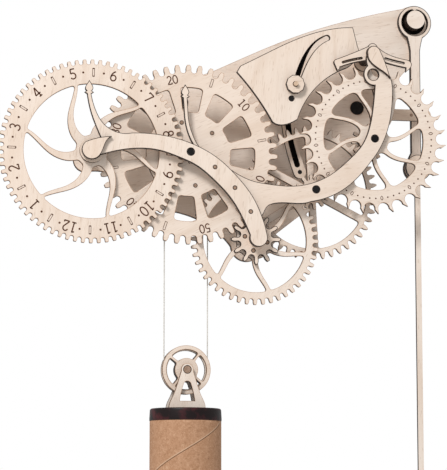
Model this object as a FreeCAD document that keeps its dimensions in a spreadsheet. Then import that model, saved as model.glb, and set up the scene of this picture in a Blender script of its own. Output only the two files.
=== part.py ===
"""A wall clock kit of laser-cut plywood: four meshing wheels and an escape wheel between a rear plate
and an open front frame, driven by a weight on a cord and kept in time by a seconds pendulum.

Frame: millimetres, X right, Z up, and Y into the wall. The origin is where the axis of the left wall
socket meets the back of the rear plate, so every piece stands at a negative Y. Each plate is drawn
in the XZ plane and padded towards the viewer.
"""

import FreeCAD, Part
import math
import os
import Sketcher

V = FreeCAD.Vector

# Driving dimensions: alias, value in mm (or degrees, or a number of teeth).
SIZES = [
    ("ply", 3.0),
    ("rear_ply", 5.0),
    ("hanger_ply", 4.0),
    ("air", 1.0),
    # How far the back of each layer stands in front of the wall.
    ("wall_layer", 0.0),
    ("hanger_layer", 8.0),
    ("crutch_layer", 16.0),
    ("link_layer", 17.0),
    ("fourth_layer", 31.5),
    ("third_layer", 35.5),
    ("minute_layer", 39.5),
    ("hour_layer", 43.5),
    ("plate_layer", 47.5),
    ("beam_layer", 50.5),
    ("cap_layer", 53.5),
    ("cord_plane", 31.0),
    ("bracket_back_layer", 22.5),
    ("pulley_back_layer", 26.5),
    ("pulley_core_layer", 29.5),
    ("pulley_front_layer", 32.5),
    ("bracket_front_layer", 36.5),
    # The train: teeth, modules, and the way from each arbor to the next.
    ("hour_teeth", 72),
    ("hour_leaves", 6),
    ("hour_module", 1.97),
    ("wheel_teeth", 48),
    ("leaves", 12),
    ("minute_module", 2.85),
    ("third_module", 2.05),
    ("fourth_teeth", 45),
    ("fourth_module", 2.25),
    ("escape_teeth", 30),
    ("minute_drop", 49.0),
    ("hour_bearing", 180.4),
    ("third_bearing", -50.85),
    ("fourth_bearing", 40.3),
    ("escape_bearing", 41.3),
    # Arbors, posts and holes.
    ("arbor_radius", 2.8),
    ("arbor_bore", 2.85),
    ("post_radius", 3.0),
    ("post_bore", 3.05),
    ("post_shoulder", 4.8),
    ("pin_radius", 1.35),
    ("boss_radius", 9.8),
    ("collar_radius", 6.8),
    ("stud_radius", 1.8),
    ("stud_bore", 1.85),
    ("support_radius", 2.0),
    ("sleeve_radius", 4.5),
    ("washer_radius", 5.0),
    # The weight side.
    ("cord_radius", 0.5),
    ("strand_offset", 17.2),
    ("winding_radius", 16.4),
    ("drum_radius", 14.7),
    ("flange_radius", 20.6),
    ("pulley_drop", 169.0),
    ("pulley_flange", 19.0),
    ("pulley_tread", 16.4),
    ("axle_radius", 2.9),
    ("axle_bore", 2.95),
    ("dowel_radius", 2.5),
    ("cord_hole", 0.8),
    ("tube_radius", 28.0),
    ("tube_length", 240.0),
    ("tube_bore", 26.4),
    ("lid_radius", 28.2),
    ("lid_height", 9.6),
    ("slug_radius", 25.0),
    # The pendulum.
    ("peg_x", 194.0),
    ("peg_z", 74.0),
    ("peg_radius", 7.6),
    ("ring_radius", 14.0),
    ("ring_hole", 11.0),
    ("knife_height", 1.5),
    ("strip_width", 8.2),
    ("coupling_radius", 10.6),
    ("rod_width", 4.4),
    ("channel_width", 4.8),
    ("rating_radius", 1.4),
    ("nut_radius", 6.0),
    ("pendulum_length", 994.0),
    ("bob_radius", 32.0),
    ("bob_core_radius", 26.0),
    # The anchor stands this far from the escape arbor.
    ("anchor_x", 148.5),
    ("anchor_z", 36.5),
    ("right_socket_x", 146.0),
    ("socket_radius", 5.5),
    ("peg_bore", 2.6),
]

doc = FreeCAD.newDocument("WoodenClock")
sheet = doc.addObject("Spreadsheet::Sheet", "sizes")
for row, (alias, value) in enumerate(SIZES, 1):
    sheet.set("A%d" % row, alias)
    sheet.set("B%d" % row, str(value))
    sheet.setAlias("B%d" % row, alias)
doc.recompute()

exported = []


def size(alias):
    return float(sheet.get(alias))


def around(radius, degrees, centre=(0.0, 0.0)):
    """The point at a radius and an angle, counter-clockwise from +X, about a centre."""
    a = math.radians(degrees)
    return (centre[0] + radius * math.cos(a), centre[1] + radius * math.sin(a))


def flat(point):
    return V(point[0], point[1], 0.0)


# ---- outlines: lists of curves in a sketch's own plane ----


def line(a, b):
    return Part.LineSegment(flat(a), flat(b))


def arc(a, via, b):
    return Part.Arc(flat(a), flat(via), flat(b))


def curve(points):
    """A smooth curve through the points."""
    spline = Part.BSplineCurve()
    spline.interpolate([flat(p) for p in points])
    return spline


def circle(centre, radius):
    return Part.Circle(flat(centre), V(0, 0, 1), radius)


def outline(start, *steps):
    """A closed outline: each step is a point (a line to it), ("arc", via, end) or ("curve", points)."""
    curves, here = [], start
    for step in steps:
        if step[0] == "arc":
            curves.append(arc(here, step[1], step[2]))
            here = step[2]
        elif step[0] == "curve":
            curves.append(curve([here] + list(step[1])))
            here = step[1][-1]
        else:
            curves.append(line(here, step))
            here = step
    if math.dist(here, start) > 1e-6:
        curves.append(line(here, start))
    return curves


def corner_blend(a, corner, b):
    """A curve from a to b that leaves and arrives along the lines through the corner."""
    bezier = Part.BezierCurve()
    bezier.setPoles([flat(a), flat(corner), flat(b)])
    return bezier.toBSpline()


def rounded_loop(sides, cut, knots=5):
    """A closed outline from sides, each a function of t from 0 to 1 that ends where the next begins.

    Each side is shortened by the length cut at both ends, and a blend rounds the corner between.
    """
    ends = []
    for side in sides:
        length = sum(math.dist(side(i / 20), side((i + 1) / 20)) for i in range(20))
        trim = min(cut / length, 0.45)
        ends.append((trim, 1.0 - trim))
    curves = []
    for index, side in enumerate(sides):
        first, last = ends[index]
        points = [side(first + (last - first) * k / (knots - 1)) for k in range(knots)]
        curves.append(curve(points))
        following = (index + 1) % len(sides)
        start_next = sides[following](ends[following][0])
        curves.append(corner_blend(points[-1], side(1.0), start_next))
    return curves


def straight(a, b):
    return lambda t: (a[0] + (b[0] - a[0]) * t, a[1] + (b[1] - a[1]) * t)


def swing(radius, first, last):
    """A side that runs along a circle about the middle, from one angle to another."""
    return lambda t: around(radius, first + (last - first) * t)


def ease(t):
    return t * t * (3.0 - 2.0 * t)


def spoke_side(inner, outer, rim_angle, sweep, half_inner, half_outer, way):
    """One side of a curved spoke, from the hub out.

    The spoke's middle turns by sweep degrees, with an eased start and end, from the hub to the rim,
    and its half width changes evenly from half_inner to half_outer. way is +1 or -1 for the side.
    """

    def point(t):
        radius = inner + (outer - inner) * t
        half = half_inner + (half_outer - half_inner) * t
        middle = rim_angle - sweep * (1.0 - ease(t))
        return around(radius, middle + way * math.degrees(half / radius))

    return point


def windows(count, phase, inner, outer, sweep, half_inner, half_outer, cut):
    """The openings between count curved spokes, whose rim ends stand at phase + k * 360 / count."""
    loops = []
    step = 360.0 / count
    for k in range(count):
        a = phase + k * step
        rising = spoke_side(inner, outer, a, sweep, half_inner, half_outer, 1.0)
        falling = spoke_side(inner, outer, a + step, sweep, half_inner, half_outer, -1.0)
        rim_from = a + math.degrees(half_outer / outer)
        rim_to = a + step - math.degrees(half_outer / outer)
        hub_to = a - sweep + math.degrees(half_inner / inner)
        hub_from = a + step - sweep - math.degrees(half_inner / inner)
        sides = [
            rising,
            swing(outer, rim_from, rim_to),
            lambda t, side=falling: side(1.0 - t),
            swing(inner, hub_from, hub_to),
        ]
        loops.append(rounded_loop(sides, cut))
    return loops


# ---- gear teeth ----


def tooth_angle(pitch_radius, mate_radius, above, arc_at_pitch):
    """Half the angle of a cycloidal tooth at a height above its pitch circle.

    The flank is the epicycloid that a circle of half the mate's pitch radius traces as it rolls
    round the pitch circle, and arc_at_pitch is half the tooth's thickness there.
    """
    rolling = mate_radius / 2.0
    low, high = 0.0, math.pi * rolling / pitch_radius
    for _ in range(40):
        roll = (low + high) / 2.0
        x = (pitch_radius + rolling) * math.cos(roll)
        x -= rolling * math.cos((pitch_radius + rolling) / rolling * roll)
        y = (pitch_radius + rolling) * math.sin(roll)
        y -= rolling * math.sin((pitch_radius + rolling) / rolling * roll)
        if math.hypot(x, y) < pitch_radius + above:
            low = roll
        else:
            high = roll
    return arc_at_pitch / pitch_radius - math.atan2(y, x)


def gear_outline(teeth, module, mate_teeth, addendum, dedendum, thickness, phase):
    """Teeth with cycloidal flanks above the pitch circle, radial flanks below it and round gullets.

    addendum and dedendum are in modules, thickness is the share of the pitch that a tooth takes,
    and the middle of the first tooth stands at phase degrees.
    """
    pitch = module * teeth / 2.0
    mate = module * mate_teeth / 2.0
    step = 360.0 / teeth
    half_arc = thickness * math.pi * module / 2.0
    height = addendum * module
    while tooth_angle(pitch, mate, height, half_arc) < 0.12 / pitch:
        height -= 0.02 * module
    tip = math.degrees(tooth_angle(pitch, mate, height, half_arc))
    middle = math.degrees(tooth_angle(pitch, mate, height * 0.5, half_arc))
    base = math.degrees(half_arc / pitch)
    root = pitch - dedendum * module
    gullet_half = math.radians(step / 2.0 - base) * root
    shoulder = root + min(gullet_half, dedendum * module * 0.8)
    curves = []
    for k in range(teeth):
        a = phase + k * step
        points = [
            around(shoulder, a - base),
            around(pitch, a - base),
            around(pitch + height * 0.5, a - middle),
            around(pitch + height, a - tip),
            around(pitch + height, a + tip),
            around(pitch + height * 0.5, a + middle),
            around(pitch, a + base),
            around(shoulder, a + base),
        ]
        following = around(shoulder, a + step - base)
        curves.append(line(points[0], points[1]))
        curves.append(arc(points[1], points[2], points[3]))
        curves.append(line(points[3], points[4]))
        curves.append(arc(points[4], points[5], points[6]))
        curves.append(line(points[6], points[7]))
        curves.append(arc(points[7], around(root, a + step / 2.0), following))
    return curves


# ---- pieces ----


def plate(name, loops, layer, bores=(), thickness="ply", at=(0.0, 0.0), keep=True):
    """A laser-cut plate: the loops (outer one first) and round bores, padded towards the viewer.

    A bore is (x, z, alias of its radius), and the sheet drives its radius, the plate's thickness
    and the layer that it lies in. at is where the sketch's own middle stands.
    """
    body = doc.addObject("PartDesign::Body", name)
    body.Label = name
    sketch = body.newObject("Sketcher::SketchObject", name + "_sketch")
    plane = [f for f in body.Origin.OriginFeatures if f.Role == "XZ_Plane"][0]
    sketch.AttachmentSupport = (plane, [""])
    sketch.MapMode = "FlatFace"
    sketch.addGeometry([c for loop in loops for c in loop], False)
    for x, z, alias in bores:
        hole = sketch.addGeometry(circle((x, z), size(alias)), False)
        index = sketch.addConstraint(Sketcher.Constraint("Radius", hole, size(alias)))
        sketch.setExpression("Constraints[%d]" % index, "sizes." + alias)
    pad = body.newObject("PartDesign::Pad", name + "_pad")
    pad.Profile = sketch
    pad.setExpression("Length", "sizes." + thickness)
    sketch.Visibility = False
    body.Placement = FreeCAD.Placement(V(at[0], 0, at[1]), FreeCAD.Rotation())
    body.setExpression("Placement.Base.y", "-sizes.%s" % layer)
    if keep:
        exported.append(body)
    return body


def towards_viewer(x, z, front_of_wall):
    return FreeCAD.Placement(V(x, -front_of_wall, z), FreeCAD.Rotation(V(1, 0, 0), 90))


def rod(name, centre, start, end, radius, keep=True):
    """A round rod along the wheel axes, from start to end in front of the wall."""
    piece = doc.addObject("Part::Cylinder", name)
    piece.Label = name
    piece.Height = end - start
    piece.setExpression("Radius", "sizes." + radius)
    piece.Placement = towards_viewer(centre[0], centre[1], start)
    if keep:
        exported.append(piece)
    return piece


def upright(name, z_low, z_high, radius, x=0.0, depth=None, keep=True):
    """A round piece that stands on end, from one height to another, in the plane of the cord."""
    piece = doc.addObject("Part::Cylinder", name)
    piece.Label = name
    piece.Height = z_high - z_low
    piece.setExpression("Radius", "sizes." + radius)
    depth = size("cord_plane") if depth is None else depth
    piece.Placement = FreeCAD.Placement(V(x, -depth, z_low), FreeCAD.Rotation())
    if keep:
        exported.append(piece)
    return piece


def block(name, x, width, heights, depths, keep=True):
    """A straight-edged piece, width wide about x, between two heights and two depths."""
    piece = doc.addObject("Part::Box", name)
    piece.Label = name
    piece.Length = width
    piece.Width = depths[1] - depths[0]
    piece.Height = heights[1] - heights[0]
    piece.Placement = FreeCAD.Placement(V(x - width / 2, -depths[1], heights[0]), FreeCAD.Rotation())
    if keep:
        exported.append(piece)
    return piece


def fuse(name, pieces, keep=True):
    whole = doc.addObject("Part::MultiFuse", name)
    whole.Label = name
    whole.Shapes = pieces
    if keep:
        exported.append(whole)
    return whole


def cut(name, base, tool, keep=True):
    whole = doc.addObject("Part::Cut", name)
    whole.Label = name
    whole.Base = base
    whole.Tool = tool
    if keep:
        exported.append(whole)
    return whole


def tube(name, centre, start, end, outer, inner, keep=True):
    """A rod with a bore right through it."""
    base = rod(name + "_rod", centre, start, end, outer, keep=False)
    bore = rod(name + "_bore", centre, start - 1.0, end + 1.0, inner, keep=False)
    return cut(name, base, bore, keep)


def group(name, pieces):
    """Identical pieces in one node, each still a solid of its own."""
    whole = doc.addObject("Part::Compound", name)
    whole.Label = name
    whole.Links = pieces
    exported.append(whole)
    return whole


# ---- where the arbors stand ----

def distance(module, teeth, leaves):
    return size(module) * (size(teeth) + size(leaves)) / 2.0


minute = (0.0, -size("minute_drop"))
hour = around(distance("hour_module", "hour_teeth", "hour_leaves"), size("hour_bearing"), minute)
third = around(distance("minute_module", "wheel_teeth", "leaves"), size("third_bearing"), minute)
fourth = around(distance("third_module", "wheel_teeth", "leaves"), size("fourth_bearing"), third)
escape = around(distance("fourth_module", "fourth_teeth", "leaves"), size("escape_bearing"), fourth)
anchor = (size("anchor_x"), size("anchor_z"))
print("arbors", [tuple(round(v, 2) for v in p) for p in (hour, minute, third, fourth, escape)])

LAYER = {alias[:-6]: value for alias, value in SIZES if alias.endswith("_layer")}
PLY = size("ply")
AIR = size("air")


def front_of(layer):
    return LAYER[layer] + PLY


def place(x, z):
    """A point of a frame plate, measured from the minute arbor."""
    return (minute[0] + x, minute[1] + z)


def places(*points):
    return [place(x, z) for x, z in points]


# ---- rear plate ----

rear_edge = outline(
    place(-72.0, -9.5),
    ("arc", place(-86.5, -0.5), place(-72.0, 8.5)),
    ("curve", places((-58.0, 14.0), (-48.0, 32.0), (-28.0, 54.0), (0.0, 66.0), (27.0, 75.5))),
    ("curve", places((63.5, 93.0), (93.0, 106.0), (131.0, 119.5), (186.0, 134.0))),
    ("arc", place(207.0, 121.0), place(196.0, 108.6)),
    ("curve", places((195.5, 98.0), (193.0, 88.0), (187.5, 81.5), (181.0, 74.0), (175.5, 60.0))),
    ("curve", places((168.0, 34.0), (162.5, 19.0))),
    ("arc", place(158.0, 5.0), place(144.0, 2.5)),
    ("curve", places((128.0, -6.0), (118.0, -20.0), (103.0, -37.0))),
    place(75.0, -59.0),
    ("curve", places((68.0, -66.0), (66.5, -70.0))),
    ("arc", place(54.0, -79.5), place(41.0, -67.5)),
    ("curve", places((30.0, -56.0), (2.0, -42.0), (-28.0, -34.0), (-52.0, -14.0), (-72.0, -9.5))),
)
plate(
    "rear_plate",
    [rear_edge],
    "wall_layer",
    [
        (*minute, "arbor_bore"),
        (*fourth, "arbor_bore"),
        (*escape, "arbor_bore"),
        (0.0, 0.0, "socket_radius"),
        (size("right_socket_x"), 0.0, "socket_radius"),
    ],
    "rear_ply",
)
# Each rubber socket is closed at its front, and pushes onto a peg in the wall.
sockets = []
for k, x in enumerate((0.0, size("right_socket_x"))):
    plug = rod("plug_%d" % k, (x, 0.0), 0.0, size("rear_ply") + AIR, "socket_radius", False)
    bore = rod("plug_bore_%d" % k, (x, 0.0), -AIR, size("rear_ply") - AIR, "peg_bore", False)
    sockets.append(cut("socket_%d" % k, plug, bore, False))
group("wall_sockets", sockets)

# ---- front frame ----

EYE_RADIUS = 4.6
MINUTE_CLEAR = 73.0
ESCAPE_CLEAR = 61.6


def spade(tip):
    """The steps round a pointer's barbed head, from its neck's right side over the tip to the left."""

    def at(x, z):
        return (tip[0] + x, tip[1] + z)

    return [
        at(3.6, -9.6),
        at(2.0, -8.6),
        ("curve", [at(3.1, -6.2), at(1.8, -3.0), tip]),
        ("curve", [at(-1.8, -3.0), at(-3.1, -6.2), at(-2.0, -8.6)]),
        at(-3.6, -9.6),
        at(-1.6, -10.9),
    ]


hour_tip = place(-80.0, 54.0)
minute_tip = place(-4.0, 54.0)
beam_edge = outline(
    place(-70.5, -4.6),
    (
        "curve",
        places((-58.7, -1.2), (-39.0, 1.4), (-23.5, 0.0), (-9.7, -4.4), (4.7, -10.8))
        + places((17.4, -20.8), (31.5, -35.5), (41.0, -51.0), (47.2, -64.5)),
    ),
    ("arc", place(54.4, -73.4), place(60.9, -65.2)),
    (
        "curve",
        places((59.2, -57.5), (55.2, -46.0), (50.0, -35.2), (43.0, -25.3), (35.6, -17.0))
        + places((21.7, -4.4), (8.0, 3.6), (-9.0, 9.8), (-25.5, 12.9), (-46.5, 13.5)),
    ),
    ("curve", places((-60.0, 14.4), (-68.0, 19.5), (-74.2, 29.0), (-77.0, 37.0), (-78.4, 43.1))),
    *spade(hour_tip),
    ("curve", places((-80.4, 36.0), (-78.0, 27.0), (-74.4, 17.5), (-70.5, 8.6))),
    ("curve", places((-73.0, 6.0),)),
    ("arc", place(-84.2, -1.6), place(-70.5, -4.6)),
)
beam_pins = places((19.2, -11.6), (35.0, -27.5), (47.6, -46.0))
beam_bores = [(*minute, "arbor_bore")] + [(*spot, "pin_radius") for spot in beam_pins]
plate("front_beam", [beam_edge], "beam_layer", beam_bores)
group(
    "beam_pins",
    [
        rod("beam_pin_%d" % k, spot, LAYER["plate"], front_of("beam"), "pin_radius", False)
        for k, spot in enumerate(beam_pins)
    ],
)

frame_edge = outline(
    place(27.0, -8.6),
    ("curve", places((39.0, -16.6), (51.0, -21.4), (63.5, -23.4), (78.3, -24.4), (96.8, -21.6))),
    ("curve", places((114.5, -13.0), (128.0, -1.5), (138.3, 10.0), (147.0, 35.5), (149.6, 59.0))),
    ("curve", places((144.2, 60.4), (140.9, 65.0), (140.8, 70.0), (143.6, 74.6))),
    ("curve", places((142.6, 79.0), (143.2, 84.0))),
    ("arc", place(148.5, 91.0), place(154.0, 85.0)),
    ("curve", places((157.2, 76.0), (162.8, 65.5))),
    ("curve", places((164.0, 57.0), (163.8, 47.0), (161.7, 30.8), (155.4, 12.0), (146.0, -2.6))),
    ("curve", places((134.5, -16.5), (124.0, -25.5), (114.5, -31.0), (105.0, -34.6), (96.8, -36.4))),
    ("curve", places((82.8, -38.2), (69.0, -38.4), (61.4, -41.4), (58.0, -47.5), (52.0, -52.0))),
    place(41.6, -49.6),
    ("curve", places((35.0, -38.0), (24.6, -25.6))),
)
eye_centre = place(148.2, 67.6)
plate(
    "front_frame_plate",
    [frame_edge, [circle(eye_centre, EYE_RADIUS)]],
    "plate_layer",
    [(*fourth, "arbor_bore"), (*escape, "arbor_bore"), (*anchor, "post_radius")]
    + [(*spot, "pin_radius") for spot in beam_pins[1:]],
)

minute_pointer_edge = outline(
    place(-2.4, 43.1),
    *spade(minute_tip),
    ("curve", places((-5.0, 34.0), (-3.6, 22.0), (1.0, 9.0), (8.6, -2.0), (15.0, -9.0))),
    ("arc", place(20.4, -16.4), place(23.6, -9.4)),
    ("curve", places((16.6, -1.0), (8.0, 4.0), (3.0, 12.0), (-0.4, 22.0), (-1.8, 34.0))),
)
plate("minute_pointer", [minute_pointer_edge], "plate_layer", [(*beam_pins[0], "pin_radius")])

hour_cap_edge = outline(
    place(-62.4, 9.6),
    ("curve", places((-67.0, 5.0), (-69.6, -1.6), (-72.6, -6.4))),
    ("arc", place(-80.6, -8.2), place(-82.6, 5.0)),
    ("curve", places((-74.0, 8.0), (-62.4, 9.6))),
)
plate("hour_end_cap", [hour_cap_edge], "cap_layer")

anchor_cap_edge = outline(
    place(161.4, 64.4),
    ("curve", places((155.6, 69.8), (149.0, 74.0), (143.8, 79.6), (143.1, 83.4))),
    ("arc", place(147.0, 90.2), place(153.4, 86.6)),
    ("curve", places((157.6, 76.6), (161.4, 64.4))),
)
plate("anchor_end_cap", [anchor_cap_edge], "beam_layer")

group(
    "post_collars",
    [
        tube(name, centre, LAYER["plate"], front_of("plate"), radius, "post_radius", False)
        for name, centre, radius in (
            ("hour_collar", hour, "boss_radius"),
            ("third_collar", third, "collar_radius"),
        )
    ],
)

posts = []
for name, centre, shoulder_end in (
    ("hour_post", hour, LAYER["hour"] - AIR / 4),
    ("third_post", third, LAYER["third"] - AIR / 4),
    ("anchor_post", anchor, LAYER["crutch"] - 2 * AIR),
):
    foot = rod(name + "_foot", centre, size("rear_ply"), shoulder_end, "post_shoulder", False)
    pin = rod(name + "_pin", centre, size("rear_ply"), front_of("plate"), "post_radius", False)
    posts.append(fuse(name, [foot, pin], False))
group("wheel_posts", posts)

# ---- shield plate, its clamp and the slotted link ----

shield_edge = outline(
    place(38.6, 67.2),
    ("arc", around(MINUTE_CLEAR, 44.0, minute), around(MINUTE_CLEAR, 22.5, minute)),
    ("curve", places((71.4, 25.9), (80.0, 26.6), (88.0, 30.8))),
    ("arc", around(ESCAPE_CLEAR, 138.0, escape), around(ESCAPE_CLEAR, 110.0, escape)),
    ("curve", places((134.0, 78.0), (138.0, 84.0), (137.6, 92.0))),
    place(133.8, 107.4),
    ("curve", places((116.0, 105.4), (98.4, 100.4), (63.6, 84.0), (41.7, 72.4))),
)

slot_edge = outline(
    place(113.9, 96.3),
    ("curve", places((105.6, 90.8), (98.3, 81.4), (91.4, 66.4))),
    ("arc", place(88.2, 65.0), place(86.9, 68.1)),
    ("curve", places((94.1, 84.2), (102.3, 94.3), (111.3, 99.7))),
    ("arc", place(114.3, 98.9), place(113.9, 96.3)),
)
stud = place(85.5, 58.4)
support = place(83.0, 47.4)
plate(
    "shield_plate",
    [shield_edge, slot_edge],
    "minute_layer",
    [(*stud, "stud_radius"), (*support, "support_radius")],
)
rod("shield_support", support, LAYER["link"] + PLY, front_of("minute"), "support_radius")
rod("clamp_stud", stud, size("rear_ply"), front_of("plate") - PLY / 2, "stud_radius")

KNOB_SIDES = 10
KNOB_RADIUS = 7.7
knob_corners = [around(KNOB_RADIUS, 360.0 * k / KNOB_SIDES) for k in range(KNOB_SIDES)]
plate(
    "clamp_knob",
    [outline(*knob_corners)],
    "hour_layer",
    [(0.0, 0.0, "stud_bore")],
    at=stud,
)

LINK_HALF = 5.0
LINK_SLOT_HALF = 2.3


def band(points, half):
    """The outline of a strip of even width along a smooth run of points, with round ends."""
    spine = curve(points)
    first, last = spine.FirstParameter, spine.LastParameter
    left, right = [], []
    for k in range(7):
        u = first + (last - first) * k / 6
        here = spine.value(u)
        ahead = spine.tangent(u)[0]
        left.append((here.x - ahead.y * half, here.y + ahead.x * half))
        right.append((here.x + ahead.y * half, here.y - ahead.x * half))
    nose = spine.value(last) + spine.tangent(last)[0] * half
    tail = spine.value(first) - spine.tangent(first)[0] * half
    return outline(
        left[0],
        ("curve", left[1:]),
        ("arc", (nose.x, nose.y), right[-1]),
        ("curve", right[-2::-1]),
        ("arc", (tail.x, tail.y), left[0]),
    )


link_run = places((85.5, 58.4), (84.8, 34.0), (87.0, 18.0), (94.6, -8.0))
slot_run = places((84.7, 40.0), (85.0, 31.0), (87.2, 17.0), (92.4, -2.0))
plate(
    "slotted_link",
    [band(link_run, LINK_HALF), band(slot_run, LINK_SLOT_HALF)],
    "link_layer",
    [(*stud, "stud_radius"), (*link_run[-1], "stud_radius")],
)
rod("link_pin", link_run[-1], size("rear_ply"), LAYER["link"] + PLY, "stud_radius")

# ---- hour wheel: one turn in twelve hours ----

WHEEL_THICK = 0.47
PINION_THICK = 0.40
HOUR_DIAL_PHASE = 29.2


def mesh_phase(teeth, mate_teeth, towards, mate_phase):
    """The phase that puts a gap of this wheel on the line of centres where the mate has a tooth.

    towards is the bearing of the mate from this wheel, and mate_phase the mate's own phase.
    """
    back = towards + 180.0
    turns = (mate_phase - back) * mate_teeth / teeth
    return towards - turns + 180.0 / teeth


hour_phase = 0.0
hour_pinion_phase = mesh_phase(6, 72, size("hour_bearing"), hour_phase)
minute_phase = 0.0
third_pinion_phase = mesh_phase(12, 48, size("third_bearing") + 180.0, minute_phase)
third_phase = 0.0
fourth_pinion_phase = mesh_phase(12, 48, size("fourth_bearing") + 180.0, third_phase)
fourth_phase = 0.0
escape_pinion_phase = mesh_phase(12, 45, size("escape_bearing") + 180.0, fourth_phase)

plate(
    "hour_wheel",
    [gear_outline(72, size("hour_module"), 6, 0.66, 1.35, WHEEL_THICK, hour_phase)]
    + windows(6, HOUR_DIAL_PHASE + 15.0, 12.5, 53.0, -33.0, 3.9, 1.1, 2.5),
    "hour_layer",
    [(0.0, 0.0, "post_bore")],
    at=hour,
)

# ---- minute arbor: one turn in an hour, with the drum behind it ----

rod("minute_arbor", minute, 0.0, front_of("beam") - AIR / 2, "arbor_radius")
plate(
    "hour_drive_pinion",
    [gear_outline(6, size("hour_module"), 72, 1.05, 0.95, PINION_THICK, hour_pinion_phase)],
    "hour_layer",
    [(0.0, 0.0, "arbor_radius")],
    at=minute,
)


def pane(middle, half, inner, outer):
    """A window of a solid-hubbed wheel, with straight sides and rounded corners."""
    sides = [
        swing(outer, middle + half * 0.95, middle - half * 0.95),
        straight(around(outer, middle - half * 0.95), around(inner, middle - half)),
        swing(inner, middle - half, middle + half),
        straight(around(inner, middle + half), around(outer, middle + half * 0.95)),
    ]
    return rounded_loop(sides, 3.0)


HUB_PIN_RING = 25.5
hub_pins = [around(HUB_PIN_RING, 42.5 + 60.0 * k) for k in range(6)]
plate(
    "minute_wheel",
    [gear_outline(48, size("minute_module"), 12, 1.05, 1.3, WHEEL_THICK, minute_phase)]
    + [pane(-2.7 + 30.0 * k, 10.6, 33.5, 53.4) for k in range(12)],
    "minute_layer",
    [(0.0, 0.0, "arbor_radius")] + [(*spot, "pin_radius") for spot in hub_pins],
    at=minute,
)
group(
    "minute_hub_pins",
    [
        rod(
            "hub_pin_%d" % k,
            (minute[0] + spot[0], minute[1] + spot[1]),
            LAYER["third"] + AIR / 2,
            front_of("minute"),
            "pin_radius",
            False,
        )
        for k, spot in enumerate(hub_pins)
    ],
)

# The drum turns on the minute arbor while it is wound. Three pawls on the wheel's back hold its
# ratchet rim, so that the falling weight turns the wheel.
RATCHET_TEETH = 24
RATCHET_DEPTH = 2.0
ratchet = []
rim = size("flange_radius")
for k in range(RATCHET_TEETH):
    a = 360.0 * k / RATCHET_TEETH
    tooth_tip, tooth_foot = around(rim, a), around(rim - RATCHET_DEPTH, a)
    next_tip = around(rim, a + 360.0 / RATCHET_TEETH)
    ratchet.append(line(tooth_tip, tooth_foot))
    ratchet.append(line(tooth_foot, next_tip))
plate("ratchet_flange", [ratchet], "third_layer", [(0.0, 0.0, "arbor_bore")], at=minute)

pawls = []
for k in range(0, 6, 2):
    middle = 42.5 + 60.0 * k
    pawl_edge = outline(
        around(HUB_PIN_RING + 2.6, middle),
        ("arc", around(HUB_PIN_RING, middle - 6.0), around(HUB_PIN_RING - 2.6, middle)),
        ("curve", [around(23.4, middle + 14.0), around(rim + 0.6, middle + 27.0)]),
        around(rim + 2.2, middle + 28.0),
        ("curve", [around(25.8, middle + 14.0), around(HUB_PIN_RING + 2.6, middle)]),
    )
    pawl_bores = [(*hub_pins[k], "pin_radius")]
    pawls.append(plate("pawl_%d" % k, [pawl_edge], "third_layer", pawl_bores, at=minute, keep=False))
group("ratchet_pawls", pawls)

DRUM_BACK = LAYER["third"] - 8.0
tube("drum_core", minute, DRUM_BACK, LAYER["third"], "drum_radius", "arbor_bore")
tube("drum_back_flange", minute, DRUM_BACK - PLY, DRUM_BACK, "flange_radius", "arbor_bore")
tube("cord_windings", minute, DRUM_BACK + 0.3, LAYER["third"] - 0.3, "winding_radius", "drum_radius")

# ---- third, fourth and escape wheels ----

PINION_PIN_RING = 9.2
third_pins = [around(PINION_PIN_RING, 76.5 + 90.0 * k) for k in range(4)]
plate(
    "third_wheel",
    [gear_outline(48, size("third_module"), 12, 1.0, 1.25, WHEEL_THICK, third_phase)]
    + windows(6, 45.0, 15.0, 41.5, 15.0, 2.2, 1.5, 2.5),
    "third_layer",
    [(0.0, 0.0, "post_bore")] + [(*spot, "pin_radius") for spot in third_pins],
    at=third,
)
plate(
    "third_pinion",
    [gear_outline(12, size("minute_module"), 48, 1.0, 1.5, PINION_THICK, third_pinion_phase)],
    "minute_layer",
    [(0.0, 0.0, "post_bore")] + [(*spot, "pin_radius") for spot in third_pins],
    at=third,
)
group(
    "third_pinion_pins",
    [
        rod(
            "pinion_pin_%d" % k,
            (third[0] + spot[0], third[1] + spot[1]),
            LAYER["third"],
            front_of("minute"),
            "pin_radius",
            False,
        )
        for k, spot in enumerate(third_pins)
    ],
)

rod("fourth_arbor", fourth, 0.0, front_of("plate") - AIR / 4, "arbor_radius")
plate(
    "fourth_wheel",
    [gear_outline(45, size("fourth_module"), 12, 1.45, 1.0, WHEEL_THICK, fourth_phase)]
    + windows(6, -87.0, 8.5, 45.2, 0.0, 2.85, 2.85, 2.5),
    "fourth_layer",
    [(0.0, 0.0, "arbor_radius")],
    at=fourth,
)
plate(
    "fourth_pinion",
    [gear_outline(12, size("third_module"), 48, 0.8, 1.5, PINION_THICK, fourth_pinion_phase)],
    "third_layer",
    [(0.0, 0.0, "arbor_radius")],
    at=fourth,
)

rod("escape_arbor", escape, 0.0, front_of("plate") - AIR / 4, "arbor_radius")
plate(
    "escape_pinion",
    [gear_outline(12, size("fourth_module"), 45, 0.6, 1.9, PINION_THICK, escape_pinion_phase)],
    "fourth_layer",
    [(0.0, 0.0, "arbor_radius")],
    at=escape,
)
tube("escape_spacer", escape, LAYER["fourth"] + PLY, LAYER["hour"], "washer_radius", "arbor_radius")


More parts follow.
